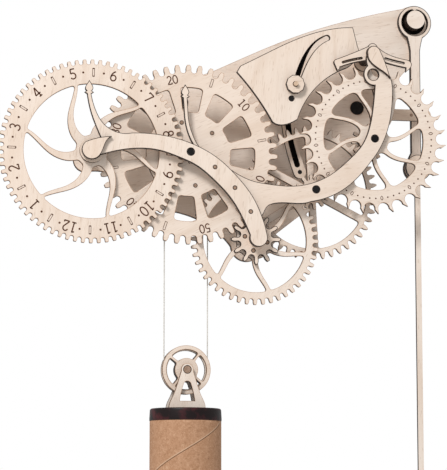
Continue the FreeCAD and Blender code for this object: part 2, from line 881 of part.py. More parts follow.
def escape_outline(tip_radius, gullet_radius, gullet_ring, phase):
    """A ring of round gullets, each tooth between them drawn out to a point that leans forward."""
    teeth = int(size("escape_teeth"))
    step = 360.0 / teeth
    half = math.degrees(gullet_radius / gullet_ring)
    curves = []
    for k in range(teeth):
        a = phase + k * step
        floor = gullet_ring - gullet_radius
        curves.append(
            arc(
                around(gullet_ring + 1.0, a - half * 0.98),
                around(floor, a),
                around(gullet_ring + 0.6, a + half * 0.99),
            )
        )
        point = around(tip_radius, a + step - half * 0.95)
        following = around(gullet_ring + 1.0, a + step - half * 0.98)
        curves.append(line(around(gullet_ring + 0.6, a + half * 0.99), point))
        curves.append(line(point, following))
    return curves


ESCAPE_TIP = 60.1
plate(
    "escape_wheel",
    [escape_outline(ESCAPE_TIP, 4.66, 56.0, 2.0)]
    + windows(8, 18.0, 12.3, 40.9, 17.0, 1.6, 1.45, 5.0),
    "hour_layer",
    [(0.0, 0.0, "arbor_radius")],
    at=escape,
)

# ---- anchor, its sleeve and the crutch that reaches the pendulum ----

PALLET_RING = 62.0
entry_tip = around(PALLET_RING, 118.2, escape)
exit_tip = around(PALLET_RING, 63.9, escape)
anchor_edge = outline(
    place(117.1, 76.4),
    entry_tip,
    place(121.9, 72.3),
    place(121.8, 73.6),
    ("curve", places((132.0, 77.2), (142.7, 79.6))),
    ("arc", place(149.6, 77.4), place(158.2, 79.0)),
    ("curve", places((167.0, 76.8), (176.4, 75.1))),
    exit_tip,
    place(180.2, 75.0),
    ("curve", places((181.0, 79.0), (178.4, 81.5))),
    ("curve", places((165.6, 84.3), (157.6, 87.9), (152.6, 91.8))),
    ("arc", place(149.0, 94.2), place(145.4, 91.6)),
    ("curve", places((132.0, 85.4), (118.1, 79.7))),
    ("curve", places((117.0, 78.4), (117.1, 76.4))),
)
anchor_slots = [
    band(places((124.4, 77.6), (132.0, 79.9), (139.6, 81.6)), 0.6),
    band(places((159.6, 82.0), (167.0, 80.2), (174.4, 78.9)), 0.6),
]
plate("anchor_plate", [anchor_edge] + anchor_slots, "hour_layer", [(*anchor, "sleeve_radius")])
tube("anchor_sleeve", anchor, LAYER["crutch"] - AIR, front_of("hour"), "sleeve_radius", "post_bore")

fork_x = size("peg_x")
fork_gap = size("strip_width") / 2 + size("pin_radius") + 0.35
crutch_edge = outline(
    place(140.9, 85.0),
    ("arc", place(145.0, 78.0), place(150.6, 77.4)),
    ("curve", places((155.0, 66.0), (157.8, 52.0), (158.4, 41.0))),
    ("arc", place(159.4, 38.4), place(162.0, 37.4)),
    (fork_x + fork_gap + 2.6, place(0, 37.4)[1]),
    ("arc", (fork_x + fork_gap + 5.0, place(0, 42.0)[1]), (fork_x + fork_gap + 2.6, place(0, 46.6)[1])),
    place(170.0, 46.6),
    ("curve", places((168.0, 54.0), (163.0, 68.0), (156.1, 85.0))),
    ("arc", place(148.5, 92.6), place(140.9, 85.0)),
)
fork_z = place(0, 42.0)[1]
fork_spots = [(fork_x - fork_gap, fork_z), (fork_x + fork_gap, fork_z)]
plate(
    "crutch_arm",
    [crutch_edge],
    "crutch_layer",
    [(*anchor, "sleeve_radius")] + [(*spot, "pin_radius") for spot in fork_spots],
)
group(
    "crutch_fork_pins",
    [
        rod("fork_pin_%d" % k, spot, LAYER["hanger"] - AIR, LAYER["crutch"] + PLY, "pin_radius", False)
        for k, spot in enumerate(fork_spots)
    ],
)

# ---- pendulum: the ring hangs by its knife edge on a peg ----

peg = (size("peg_x"), size("peg_z"))
pivot_z = peg[1] + size("peg_radius")
ring_centre = (peg[0], pivot_z + size("knife_height") - size("ring_hole"))
rod("pendulum_peg", peg, size("rear_ply"), LAYER["hanger"] + size("hanger_ply") + PLY, "peg_radius")

half_strip = size("strip_width") / 2
coupling = place(peg[0], -1.0)
coupling_radius = size("coupling_radius")
neck = around(size("ring_radius"), -62.0, ring_centre)
waist_z = ring_centre[1] - 24.0
join = math.sqrt(coupling_radius**2 - (half_strip + 2.4) ** 2)
hanger_edge = outline(
    (2 * peg[0] - neck[0], neck[1]),
    ("arc", (ring_centre[0], ring_centre[1] + size("ring_radius")), neck),
    ("curve", [(peg[0] + half_strip + 0.8, waist_z + 5.0), (peg[0] + half_strip, waist_z)]),
    (peg[0] + half_strip, coupling[1] + join + 5.0),
    ("curve", [(peg[0] + half_strip + 2.4, coupling[1] + join)]),
    (
        "arc",
        (peg[0], coupling[1] - coupling_radius),
        (peg[0] - half_strip - 2.4, coupling[1] + join),
    ),
    ("curve", [(peg[0] - half_strip, coupling[1] + join + 5.0)]),
    (peg[0] - half_strip, waist_z),
    (
        "curve",
        [(peg[0] - half_strip - 0.8, waist_z + 5.0), (2 * peg[0] - neck[0], neck[1])],
    ),
)
hole_r = size("ring_hole")
knife = size("knife_height")
knife_half = 2.0
hole_top = math.sqrt(hole_r**2 - knife_half**2)
ring_hole_edge = outline(
    (peg[0] + knife_half, ring_centre[1] + hole_top),
    (peg[0], pivot_z + 0.05),
    (peg[0] - knife_half, ring_centre[1] + hole_top),
    ("arc", (ring_centre[0], ring_centre[1] - hole_r), (peg[0] + knife_half, ring_centre[1] + hole_top)),
)
plate("pendulum_hanger", [hanger_edge, ring_hole_edge], "hanger_layer", (), "hanger_ply")

rod_back = LAYER["hanger"] + size("hanger_ply")
rod_front = rod_back + PLY
bob = (peg[0], pivot_z - size("pendulum_length"))
rod("rod_clamp_disc", coupling, rod_front, rod_front + PLY, "coupling_radius")
group(
    "rod_clamp_pins",
    [
        rod("clamp_pin_%d" % k, (peg[0] + side, coupling[1]), rod_back, rod_front, "pin_radius", False)
        for k, side in enumerate((-6.0, 6.0))
    ],
)
ROD_LAP = 8.0
ROD_END = 20.0
block("pendulum_rod", peg[0], size("rod_width"), (bob[1] - ROD_END, coupling[1] + ROD_LAP), (rod_back, rod_front))

BOB_BACK = 4.0
bob_front = rod_back + rod_front - BOB_BACK
bob_middle = rod("bob_middle", bob, BOB_BACK + PLY, bob_front - PLY, "bob_core_radius", False)
channel_heights = (bob[1] - size("bob_radius"), bob[1] + size("bob_radius"))
channel = block(
    "bob_channel", peg[0], size("channel_width"), channel_heights, (rod_back - 0.2, rod_front + 0.2), False
)
cut("bob_core", bob_middle, channel)
group(
    "bob_discs",
    [
        rod("bob_disc_%d" % k, bob, back, back + PLY, "bob_radius", False)
        for k, back in enumerate((BOB_BACK, bob_front - PLY))
    ],
)
NUT_HEIGHT = 5.0
nut_top = bob[1] - size("bob_radius") - 0.5
rod_depth = (rod_back + rod_front) / 2
screw_end = nut_top - NUT_HEIGHT - 6.0
upright("rating_screw", screw_end, bob[1] - ROD_END, "rating_radius", peg[0], rod_depth)
nut_blank = upright("nut_blank", nut_top - NUT_HEIGHT, nut_top, "nut_radius", peg[0], rod_depth, False)
nut_hole = upright(
    "nut_hole", nut_top - NUT_HEIGHT - 1.0, nut_top + 1.0, "rating_radius", peg[0], rod_depth, False
)
cut("rating_nut", nut_blank, nut_hole)

# ---- the weight: a pulley in two brackets on a filled tube ----

pulley = (0.0, minute[1] - size("pulley_drop"))
PULLEY_SPOKE = 51.0
LID_DROP = 30.1
flanges = []
brackets = []
bracket_edge = outline(
    (-14.3, -LID_DROP),
    (14.3, -LID_DROP),
    ("curve", [(14.0, -27.0), (11.4, -21.0), (7.4, -10.0), (4.6, -1.0)]),
    ("arc", (0.0, 4.7), (-4.6, -1.0)),
    ("curve", [(-7.4, -10.0), (-11.4, -21.0), (-14.0, -27.0), (-14.3, -LID_DROP)]),
)
bracket_window = outline(
    (-6.0, -24.4),
    (6.0, -24.4),
    ("curve", [(4.6, -17.0), (2.6, -10.4)]),
    ("arc", (0.0, -8.9), (-2.6, -10.4)),
    ("curve", [(-4.6, -17.0), (-6.0, -24.4)]),
)
for end in ("back", "front"):
    ring = [circle((0.0, 0.0), size("pulley_flange"))]
    spokes = windows(4, PULLEY_SPOKE, 9.1, 15.9, 0.0, 0.9, 0.9, 1.5)
    flanges.append(
        plate(
            "pulley_flange_" + end,
            [ring] + spokes,
            "pulley_%s_layer" % end,
            [(0.0, 0.0, "axle_bore")],
            at=pulley,
            keep=False,
        )
    )
    brackets.append(
        plate(
            "weight_bracket_" + end,
            [bracket_edge, bracket_window],
            "bracket_%s_layer" % end,
            [(0.0, 0.0, "axle_radius")],
            at=pulley,
            keep=False,
        )
    )
group("pulley_flanges", flanges)
group("weight_brackets", brackets)
bracket_front = front_of("bracket_front")
tread = [circle((0.0, 0.0), size("pulley_tread"))]
plate(
    "pulley_core",
    [tread] + windows(4, PULLEY_SPOKE, 9.1, 15.0, 0.0, 0.9, 0.9, 1.5),
    "pulley_core_layer",
    [(0.0, 0.0, "axle_bore")],
    at=pulley,
)
rod("pulley_axle", pulley, LAYER["bracket_back"], bracket_front, "axle_radius")
spacer_depths = (front_of("bracket_back"), LAYER["bracket_front"])
block("bracket_spacer", 0.0, 16.0, (pulley[1] - 29.0, pulley[1] - 26.0), spacer_depths)

lid_top = pulley[1] - LID_DROP
tube_top = lid_top - size("lid_height")
tube_foot = tube_top - size("tube_length")
PLUG_DEPTH = 12.0
lids = []
for name, disc, plug in (
    ("top_lid", (tube_top, lid_top), (tube_top - PLUG_DEPTH, tube_top)),
    ("foot_lid", (tube_foot - size("lid_height"), tube_foot), (tube_foot, tube_foot + PLUG_DEPTH)),
):
    face = upright(name + "_face", *disc, "lid_radius", keep=False)
    inner = upright(name + "_plug", *plug, "tube_bore", keep=False)
    lids.append(fuse(name, [face, inner], False))
group("tube_lids", lids)
tube_outside = upright("tube_outside", tube_foot, tube_top, "tube_radius", keep=False)
tube_inside = upright("tube_inside", tube_foot - 1.0, tube_top + 1.0, "tube_bore", keep=False)
cut("weight_tube", tube_outside, tube_inside)
SLUG_HEIGHT = 80.0
slug_foot = tube_foot + PLUG_DEPTH
upright("weight_slug", slug_foot, slug_foot + SLUG_HEIGHT, "slug_radius")

# ---- the cord: from the drum, round the pulley and up to a tab on the rear plate ----

strand = size("strand_offset")
cord_depth = size("cord_plane")
cord_top = minute[1] - 28.0
strands = [
    upright("strand_%d" % k, pulley[1], cord_top, "cord_radius", side * strand, keep=False)
    for k, side in enumerate((-1, 1))
]
bend = doc.addObject("Part::Torus", "cord_bend")
bend.Label = "cord_bend"
bend.setExpression("Radius1", "sizes.strand_offset")
bend.setExpression("Radius2", "sizes.cord_radius")
bend.Angle3 = 180.0
bend.Placement = FreeCAD.Placement(V(pulley[0], -cord_depth, pulley[1]), FreeCAD.Rotation(V(1, 0, 0), -90))
fuse("drive_cord", strands + [bend])
upright("cord_lead", cord_top, minute[1], "cord_radius", strand)

dowel_end = cord_depth - 4.0
dowel = rod("cord_dowel", (-strand, cord_top), size("rear_ply"), dowel_end, "dowel_radius", False)
tab = block("cord_tab", -strand, 8.0, (cord_top - 2.0, cord_top + 2.0), (dowel_end, cord_depth + 4.0), False)
tab_blank = fuse("cord_holder_blank", [dowel, tab], False)
tab_hole = upright("tab_hole", cord_top - 5.0, cord_top + 5.0, "cord_hole", -strand, keep=False)
cut("cord_holder", tab_blank, tab_hole)

# ---- checks, then one file for each piece ----

doc.recompute()
for item in doc.Objects:
    if {"Invalid", "Error"} & set(item.State):
        raise RuntimeError("%s: %s" % (item.Label, item.State))
os.makedirs("parts", exist_ok=True)
for piece in exported:
    shape = piece.Shape
    if shape.isNull() or not shape.isValid():
        raise RuntimeError("%s has no valid shape" % piece.Label)
    shape.exportStep("parts/%s.step" % piece.Label)
    print("%-20s %2d solids %9.1f mm3" % (piece.Label, len(shape.Solids), shape.Volume))
print(len(exported), "pieces")
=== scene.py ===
# %% [markdown]
# # A weight-driven wall clock of laser-cut plywood
# The real clock is a kit: flat birch wheels and frame pieces, cut and burnt by a laser, with a
# paper-tube weight and a long pendulum. Its plates already have their true shape in the packed
# model, so this lesson spends its effort on what that model leaves plain: the wood itself, the
# burnt dial marks, the paper tube, the lids, the cord and the small turned parts.

# %% Load the frame
import math

import bpy
import numpy as np
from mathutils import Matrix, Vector


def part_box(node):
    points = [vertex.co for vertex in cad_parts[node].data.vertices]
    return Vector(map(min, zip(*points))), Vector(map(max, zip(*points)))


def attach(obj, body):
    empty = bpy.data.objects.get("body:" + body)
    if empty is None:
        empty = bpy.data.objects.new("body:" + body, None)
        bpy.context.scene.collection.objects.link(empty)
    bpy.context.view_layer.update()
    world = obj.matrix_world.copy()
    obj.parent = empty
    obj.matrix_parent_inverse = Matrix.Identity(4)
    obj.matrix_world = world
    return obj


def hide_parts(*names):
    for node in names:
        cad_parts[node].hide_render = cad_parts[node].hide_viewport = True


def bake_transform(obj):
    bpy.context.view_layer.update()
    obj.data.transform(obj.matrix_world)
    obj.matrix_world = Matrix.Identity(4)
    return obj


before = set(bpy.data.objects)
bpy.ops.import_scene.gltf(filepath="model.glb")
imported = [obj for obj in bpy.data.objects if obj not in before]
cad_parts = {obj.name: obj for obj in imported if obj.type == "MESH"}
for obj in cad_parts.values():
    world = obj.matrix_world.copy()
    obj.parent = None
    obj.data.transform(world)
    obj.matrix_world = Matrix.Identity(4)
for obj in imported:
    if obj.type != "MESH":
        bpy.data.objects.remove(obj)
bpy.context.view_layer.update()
MM = 0.001

# %% [markdown]
# ## Where things stand
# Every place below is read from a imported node's box, so nothing is fitted by eye. A wheel's middle
# is the middle of its box, and the front of a plate is its lowest Y, because Y runs into the wall.


# %% Places read from the frame
def middle(node):
    """The middle of a node's box."""
    low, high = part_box(node)
    return (np.array(low) + np.array(high)) / 2


def front(node):
    """How far forward a node reaches, as its lowest Y."""
    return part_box(node)[0][1]


HOUR = middle("hour_wheel")
MINUTE = middle("minute_arbor")
ESCAPE = middle("escape_arbor")
PULLEY = middle("pulley_axle")
STRAND = middle("cord_lead")[0]
CORD_Y = middle("cord_lead")[1]
print("hour", HOUR, "minute", MINUTE, "seconds", ESCAPE, "pulley", PULLEY)

# %% [markdown]
# ## The camera
# The clock is seen from a little to its left and from below, by a long lens a step and a half away,
# so the far wheels stay as large as the near ones. A camera could track an empty; here its matrix is
# worked out from the two angles, which keeps the view exact.

# %% Camera
AZIMUTH, ELEVATION, DISTANCE = math.radians(-10.5), math.radians(-7.5), 1.6
LOOK_AT = np.array([0.0284, -0.040, -0.1122])
LENS, SENSOR = 156.1, 36.0

away = np.array(
    [
        math.sin(AZIMUTH) * math.cos(ELEVATION),
        -math.cos(AZIMUTH) * math.cos(ELEVATION),
        math.sin(ELEVATION),
    ]
)
camera = bpy.data.objects.new("camera", bpy.data.cameras.new("camera"))
camera.data.lens = LENS
camera.data.sensor_width = SENSOR
camera.location = LOOK_AT + away * DISTANCE
camera.rotation_euler = (math.pi / 2 - ELEVATION, 0.0, AZIMUTH)
bpy.context.scene.collection.objects.link(camera)
bpy.context.scene.camera = camera
print("camera at", tuple(camera.location))

# %% [markdown]
# ## Making a mesh from arrays
# All new pieces are grids of points worked out with numpy. Two small functions turn arrays into
# Blender meshes: one takes vertices and faces, the other gives the faces of a grid, as quads.


# %% From arrays to a piece
def piece(name, vertices, faces, smooth=False):
    """A mesh object from an array of points and a list of faces, standing at the origin."""
    mesh = bpy.data.meshes.new(name)
    mesh.from_pydata(np.asarray(vertices).tolist(), [], [list(f) for f in faces])
    mesh.polygons.foreach_set("use_smooth", np.full(len(mesh.polygons), smooth))
    mesh.update()
    made = bpy.data.objects.new(name, mesh)
    bpy.context.scene.collection.objects.link(made)
    print("%-22s %6d faces" % (name, len(mesh.polygons)))
    return made


def grid_faces(rows, columns, close_rows=True, start=0):
    """The quads between neighbouring rows and columns of a grid. Its columns close up into a ring."""
    i = np.arange(rows if close_rows else rows - 1)
    j = np.arange(columns)
    i, j = (a.ravel() for a in np.meshgrid(i, j, indexing="ij"))
    down, right = (i + 1) % rows, (j + 1) % columns
    corners = [i * columns + j, down * columns + j, down * columns + right, i * columns + right]
    return np.stack(corners, axis=1) + start


def outward(made):
    """Turns every face of a closed piece to point out of it."""
    bpy.context.view_layer.objects.active = made
    made.select_set(True)
    bpy.ops.object.mode_set(mode="EDIT")
    bpy.ops.mesh.select_all(action="SELECT")
    bpy.ops.mesh.normals_make_consistent(inside=False)
    bpy.ops.object.mode_set(mode="OBJECT")
    made.select_set(False)
    return made


# %% [markdown]
# ## The drive cord
# A braided cotton cord leaves the drum, runs straight down under its load, goes half round the
# pulley and comes back up to a fixed holder. It could be a bevelled curve; here it is a tube swept
# along a smooth spline, because a tube can carry the braid as real relief. The bends of the spline
# lie on a polygon round the pulley, which makes it touch the pulley's circle all the way.

# %% Cord route
CORD = 1.0 * MM
RIGHT_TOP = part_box("cord_lead")[1][2]
LEFT_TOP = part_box("cord_lead")[0][2]
BEND_CORNERS = 4
half_turn = math.pi / BEND_CORNERS / 2
corner_angles = -half_turn - np.arange(BEND_CORNERS) * 2 * half_turn
corner_reach = STRAND / math.cos(half_turn)
level = PULLEY[2] + STRAND * math.tan(half_turn)
route = [(STRAND, CORD_Y, RIGHT_TOP), (STRAND, CORD_Y, (RIGHT_TOP + level) / 2), (STRAND, CORD_Y, level)]
route += [
    (corner_reach * math.cos(a), CORD_Y, PULLEY[2] + corner_reach * math.sin(a)) for a in corner_angles
]
route += [(-STRAND, CORD_Y, level), (-STRAND, CORD_Y, (LEFT_TOP + level) / 2), (-STRAND, CORD_Y, LEFT_TOP)]


def spline_points(route, resolution):
    """Points along the smooth line that the route's points control, read from a NURBS spline."""
    line = bpy.data.curves.new("route", "CURVE")
    line.dimensions = "3D"
    spline = line.splines.new("NURBS")
    spline.points.add(len(route) - 1)
    spline.points.foreach_set("co", np.array([(*p, 1.0) for p in route]).ravel())
    spline.order_u = 3
    spline.use_endpoint_u = True
    spline.resolution_u = resolution
    holder = bpy.data.objects.new("route", line)
    mesh = bpy.data.meshes.new_from_object(holder)
    points = np.array([v.co[:] for v in mesh.vertices])
    bpy.data.objects.remove(holder)
    return points


def lengths(points):
    """The distance along a line from its start to each of its points."""
    return np.concatenate([[0.0], np.cumsum(np.linalg.norm(np.diff(points, axis=0), axis=1))])


def even(points, step):
    """The same line with points a step apart."""
    along = lengths(points)
    count = int(along[-1] / step) + 1
    at = np.linspace(0.0, along[-1], count)
    return np.stack([np.interp(at, along, points[:, k]) for k in range(3)], axis=1)


def braid(name, path, radius, sides, strands, pitch, relief):
    """A closed tube along the path. Its radius rises and falls with the sum of two helices that wind
    opposite ways, strands to the turn and one turn in each pitch, which is the relief of a braid."""
    ahead = np.gradient(path, axis=0)
    ahead /= np.linalg.norm(ahead, axis=1)[:, None]
    side = np.cross(ahead, [0.0, 1.0, 0.0])
    side /= np.linalg.norm(side, axis=1)[:, None]
    across = np.cross(side, ahead)
    turn = np.linspace(0.0, 2 * math.pi, sides, endpoint=False)[None, :]
    wind = 2 * math.pi * lengths(path)[:, None] / pitch
    bumps = np.abs(np.sin(strands * (turn + wind) / 2)) + np.abs(np.sin(strands * (turn - wind) / 2))
    reach = radius * (1.0 - relief + relief * bumps / 2)
    ring = side[:, None, :] * np.cos(turn)[..., None] + across[:, None, :] * np.sin(turn)[..., None]
    points = path[:, None, :] + ring * reach[..., None]
    faces = [list(f) for f in grid_faces(len(path), sides, close_rows=False)]
    faces += [list(range(sides)), list(range((len(path) - 1) * sides, len(path) * sides))]
    return outward(piece(name, points.reshape(-1, 3), faces, smooth=True))


# %% Cord
cord_line = even(spline_points(route, 24), 0.55 * MM)
cord_length = lengths(cord_line)[-1]
drive_cord = braid("cotton_drive_cord", cord_line, CORD / 2, 12, 4, 3.0 * MM, 0.16)
print("cord %.1f mm" % (cord_length / MM))

# %% [markdown]
# ## Colour and shader helpers
# Colours are written as the sRGB hex values that an eye would pick, and one function makes them
# linear for the shaders. Another adds a node, sets it and links it in one call, so that each
# material reads as a short list of what happens to the surface.


# %% Shader helpers
def linear(hex_colour):
    """An sRGB hex colour as linear RGB with alpha: each channel is unbent by the sRGB curve."""
    channels = np.array([int(hex_colour[i : i + 2], 16) for i in (1, 3, 5)]) / 255.0
    bent = np.where(channels <= 0.04045, channels / 12.92, ((channels + 0.055) / 1.055) ** 2.4)
    return (*bent.tolist(), 1.0)


def add(tree, kind, feeds=None, **settings):
    """Adds a node, sets its settings, and feeds its inputs with values or with other outputs."""
    node = tree.nodes.new("ShaderNode" + kind)
    for key, value in settings.items():
        setattr(node, key, value)
    for socket, source in (feeds or {}).items():
        if isinstance(source, bpy.types.NodeSocket):
            tree.links.new(source, node.inputs[socket])
        else:
            node.inputs[socket].default_value = source
    return node


def blank(name, roughness, **sockets):
    """A material with one Principled shader. Constants go straight onto the shader's sockets."""
    material = bpy.data.materials.new(name)
    material.use_nodes = True
    tree = material.node_tree
    shader = tree.nodes["Principled BSDF"]
    shader.inputs["Roughness"].default_value = roughness
    for key, value in sockets.items():
        shader.inputs[key.replace("_", " ")].default_value = value
    return material, tree, shader


def mix(tree, amount, first, second):
    """The colour between two colours, by amount."""
    return add(tree, "Mix", {0: amount, 6: first, 7: second}, data_type="RGBA").outputs[2]


def spread(tree, value, low, high, to_low=0.0, to_high=1.0):
    """A value carried from one range to another, and kept inside it."""
    feeds = {0: value, 1: low, 2: high, 3: to_low, 4: to_high}
    return add(tree, "MapRange", feeds).outputs[0]


def bump(tree, shader, height, strength, distance):
    """Lets a height tilt the shader's normal."""
    feeds = {"Height": height, "Strength": strength, "Distance": distance}
    tree.links.new(add(tree, "Bump", feeds).outputs["Normal"], shader.inputs["Normal"])


# %% [markdown]
# ## Birch plywood, cut by a laser
# Kit plywood is birch veneer peeled from a turning log, so its figure is the log's growth rings
# sliced nearly flat: long pale contours, 10 to 20 mm apart, with short fine pores along the grain.
# A picture of wood could be wrapped on, but contours of a stretched noise make the same figure at
# any size and for each plate its own. The laser burns the cut edge: dark brown, with the three
# layers just told apart. A face whose normal leans away from the plate's own axis is such an edge.

# %% Birch material
PALE, WARM, RING, PORE = "#efe3d8", "#dfc5ae", "#c4a58a", "#9c7a5a"
CHAR, TOAST = "#130a06", "#402517"
LAYER_MM = 1.0


def birch(name, grain, seed, tan_and_painted_light=0.35, burn=1.0):
    """Peeled birch veneer: grain is its direction in degrees from X, and the next number its share of tan,
    set low on plates in shade as painted light.
    """
    material, tree, shader = blank(name, 0.62)
    place = add(tree, "TexCoord").outputs["Object"]
    turned = add(
        tree,
        "Mapping",
        {
            "Vector": place,
            "Location": (0.37 * seed, 0.0, 0.91 * seed),
            "Rotation": (0, math.radians(grain), 0),
        },
    ).outputs[0]

    def stretched(along_mm, across_mm, detail, distortion=0.0):
        """A noise drawn out along the grain, with the sizes of its patches in millimetres."""
        scale = (1000.0 / along_mm, 1000.0 / across_mm, 1000.0 / across_mm)
        squeezed = add(tree, "Mapping", {"Vector": turned, "Scale": scale}).outputs[0]
        feeds = {"Vector": squeezed, "Scale": 1.0, "Detail": detail, "Distortion": distortion}
        return add(tree, "TexNoise", feeds).outputs[0]

    flow = stretched(190.0, 34.0, 1.0, 0.6)
    rings = add(tree, "Math", {0: flow, 1: 9.0}, operation="MULTIPLY").outputs[0]
    rings = add(tree, "Math", {0: rings, 1: 1.0}, operation="PINGPONG").outputs[0]
    late_wood = spread(tree, rings, 0.42, 0.98)
    fibres = stretched(26.0, 1.3, 3.0)
    pores = spread(tree, stretched(7.0, 0.9, 1.0), 0.63, 0.70)
    patches = spread(tree, stretched(70.0, 45.0, 2.0), 0.35, 0.65)

    colour = mix(tree, tan_and_painted_light, linear(PALE), linear(WARM))
    for amount, share, tint in (
        (patches, 0.30, WARM),
        (late_wood, 0.18, RING),
        (spread(tree, fibres, 0.35, 0.75), 0.15, RING),
        (pores, 0.25, PORE),
    ):
        weight = add(tree, "Math", {0: amount, 1: share}, operation="MULTIPLY").outputs[0]
        colour = mix(tree, weight, colour, linear(tint))

    normal = add(tree, "SeparateXYZ", {0: add(tree, "NewGeometry").outputs["Normal"]}).outputs[1]
    facing = add(tree, "Math", {0: normal}, operation="ABSOLUTE").outputs[0]
    edge = spread(tree, facing, 0.9, 0.6)
    depth = add(tree, "SeparateXYZ", {0: place}).outputs[1]
    plies = add(tree, "Math", {0: depth, 1: 1000.0 / LAYER_MM}, operation="MULTIPLY").outputs[0]
    plies = add(tree, "Math", {0: plies, 1: 1.0}, operation="PINGPONG").outputs[0]
    scorch = spread(tree, stretched(5.0, 5.0, 2.0), 0.3, 0.7)
    ply_amount = add(tree, "Math", {0: plies, 1: scorch}, operation="MULTIPLY").outputs[0]
    charred = mix(tree, ply_amount, linear(CHAR), linear(TOAST))
    edge_amount = add(tree, "Math", {0: edge, 1: burn}, operation="MULTIPLY").outputs[0]
    colour = mix(tree, edge_amount, colour, charred)
    tree.links.new(colour, shader.inputs["Base Color"])
    bump(tree, shader, fibres, 0.25, 0.15 * MM)
    return material


# %% Every plywood plate gets its own cut of veneer
# Grain in degrees and share of tan for each plate. The tan varies between sheets as real tone; on the rear
# plate and the pendulum rod it is set low so they read paler, painted light that offsets the shade they sit
# in.
PLATES = {
    # rear plate: little tan, painted light against the shade of the parts in front of it
    "rear_plate": (8, 0.05),
    "front_beam": (82, 0.20),
    "front_frame_plate": (12, 0.25),
    "minute_pointer": (78, 0.25),
    "hour_end_cap": (80, 0.35),
    "anchor_end_cap": (70, 0.35),
    "post_collars": (0, 0.45),
    "pendulum_peg": (20, 0.15),
    "shield_plate": (84, 0.25),
    "clamp_knob": (20, 0.20),
    "slotted_link": (85, 0.30),
    "hour_wheel": (86, 0.25),
    "hour_drive_pinion": (0, 0.45),
    "minute_wheel": (25, 0.30),
    "ratchet_flange": (40, 0.45),
    "ratchet_pawls": (15, 0.45),
    "drum_core": (0, 0.45),
    "drum_back_flange": (70, 0.45),
    "third_wheel": (60, 0.15),
    "third_pinion": (30, 0.45),
    "fourth_wheel": (35, 0.20),
    "fourth_pinion": (75, 0.45),
    "escape_wheel": (10, 0.15),
    "escape_pinion": (50, 0.45),
    "escape_spacer": (0, 0.45),
    "anchor_plate": (15, 0.25),
    "anchor_sleeve": (0, 0.45),
    "crutch_arm": (0, 0.55),
    "pendulum_hanger": (88, 0.20),
    "rod_clamp_disc": (30, 0.45),
    # pendulum rod: little tan, painted light against its shade
    "pendulum_rod": (90, 0.05),
    "bob_discs": (65, 0.25),
    "pulley_flanges": (20, 0.20),
    "pulley_core": (0, 0.35),
    "weight_brackets": (86, 0.10),
    "bracket_spacer": (0, 0.45),
    "cord_holder": (90, 0.45),
}


def dress(node, material):
    """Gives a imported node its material, and changes nothing else on it."""
    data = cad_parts[node].data
    data.materials.clear()
    data.materials.append(material)


for seed, (node, (grain, tan_and_painted_light)) in enumerate(PLATES.items(), 1):
    dress(node, birch("birch_plywood_" + node, grain, seed, tan_and_painted_light))
print(len(PLATES), "plywood nodes dressed")

# %% [markdown]
# ## Beech dowel
# Posts and pins are beech dowel, pinker and plainer than the birch, with short dark flecks. Cut by a
# saw and not by the laser, so the ends stay pale.


# %% Dowel material
def beech(name, pale, dark):
    """Beech dowel: an even colour with fine fibres along Y and the flecks of its rays."""
    material, tree, shader = blank(name, 0.55)
    place = add(tree, "TexCoord").outputs["Object"]
    along = add(tree, "Mapping", {"Vector": place, "Scale": (900.0, 90.0, 900.0)}).outputs[0]
    fibres = add(tree, "TexNoise", {"Vector": along, "Scale": 1.0, "Detail": 3.0}).outputs[0]
    flecks_at = add(tree, "Mapping", {"Vector": place, "Scale": (1500.0, 400.0, 1500.0)}).outputs[0]
    flecks = add(tree, "TexNoise", {"Vector": flecks_at, "Scale": 1.0, "Detail": 1.0}).outputs[0]
    colour = mix(tree, spread(tree, fibres, 0.3, 0.7), linear(pale), linear(dark))
    fleck_amount = spread(tree, flecks, 0.62, 0.72, 0.0, 0.5)
    colour = mix(tree, fleck_amount, colour, linear("#7a4f33"))
    tree.links.new(colour, shader.inputs["Base Color"])
    bump(tree, shader, fibres, 0.3, 0.1 * MM)
    return material


DOWEL = beech("beech_dowel", "#dcc3aa", "#c4a68a")
DARK_DOWEL = beech("beech_pin_ends", "#ab8f7c", "#846852")
for node in ("wheel_posts", "clamp_stud"):
    dress(node, DOWEL)
DARK_DOWEL_NODES = (
    "beam_pins",
    "minute_hub_pins",
    "third_pinion_pins",
    "rod_clamp_pins",
    "crutch_fork_pins",
    "pulley_axle",
)
for node in DARK_DOWEL_NODES:
    dress(node, DARK_DOWEL)


# %% [markdown]
# ## Steel, iron, brass and rubber
# The arbors are blackened steel wire: an oxide film, dark and only half glossy, with the lathe's
# rings. The nut and screw are turned brass. The wall sockets are soft black rubber.


# %% Metals and rubber
def turned(name, bright, dull, metallic, roughness, lines_mm, axis):
    """A turned surface: fine rings across the axis, told by bands of noise along that axis."""
    material, tree, shader = blank(name, roughness, Metallic=metallic)
    place = add(tree, "TexCoord").outputs["Object"]
    scale = [20.0, 20.0, 20.0]
    scale["XYZ".index(axis)] = 1000.0 / lines_mm
    bands_at = add(tree, "Mapping", {"Vector": place, "Scale": scale}).outputs[0]
    bands = add(tree, "TexNoise", {"Vector": bands_at, "Scale": 1.0, "Detail": 2.0}).outputs[0]
    colour = mix(tree, spread(tree, bands, 0.3, 0.7), linear(bright), linear(dull))
    tree.links.new(colour, shader.inputs["Base Color"])
    tree.links.new(spread(tree, bands, 0.3, 0.7, roughness, roughness + 0.15), shader.inputs["Roughness"])
    bump(tree, shader, bands, 0.3, 0.05 * MM)
    return material


BLACK_STEEL = turned("blackened_steel", "#2b2a2a", "#0d0c0c", 0.7, 0.42, 0.5, "Y")
BRASS = turned("turned_brass", "#d8b25c", "#a67f35", 1.0, 0.26, 0.4, "Z")
IRON = turned("cast_iron", "#57565a", "#333236", 0.9, 0.6, 2.5, "Z")
STEEL = turned("turned_steel", "#9c9da0", "#707276", 1.0, 0.34, 0.5, "Y")
for node in ("minute_arbor", "fourth_arbor", "escape_arbor", "shield_support", "link_pin"):
    dress(node, BLACK_STEEL)
dress("weight_slug", IRON)
dress("bob_core", STEEL)


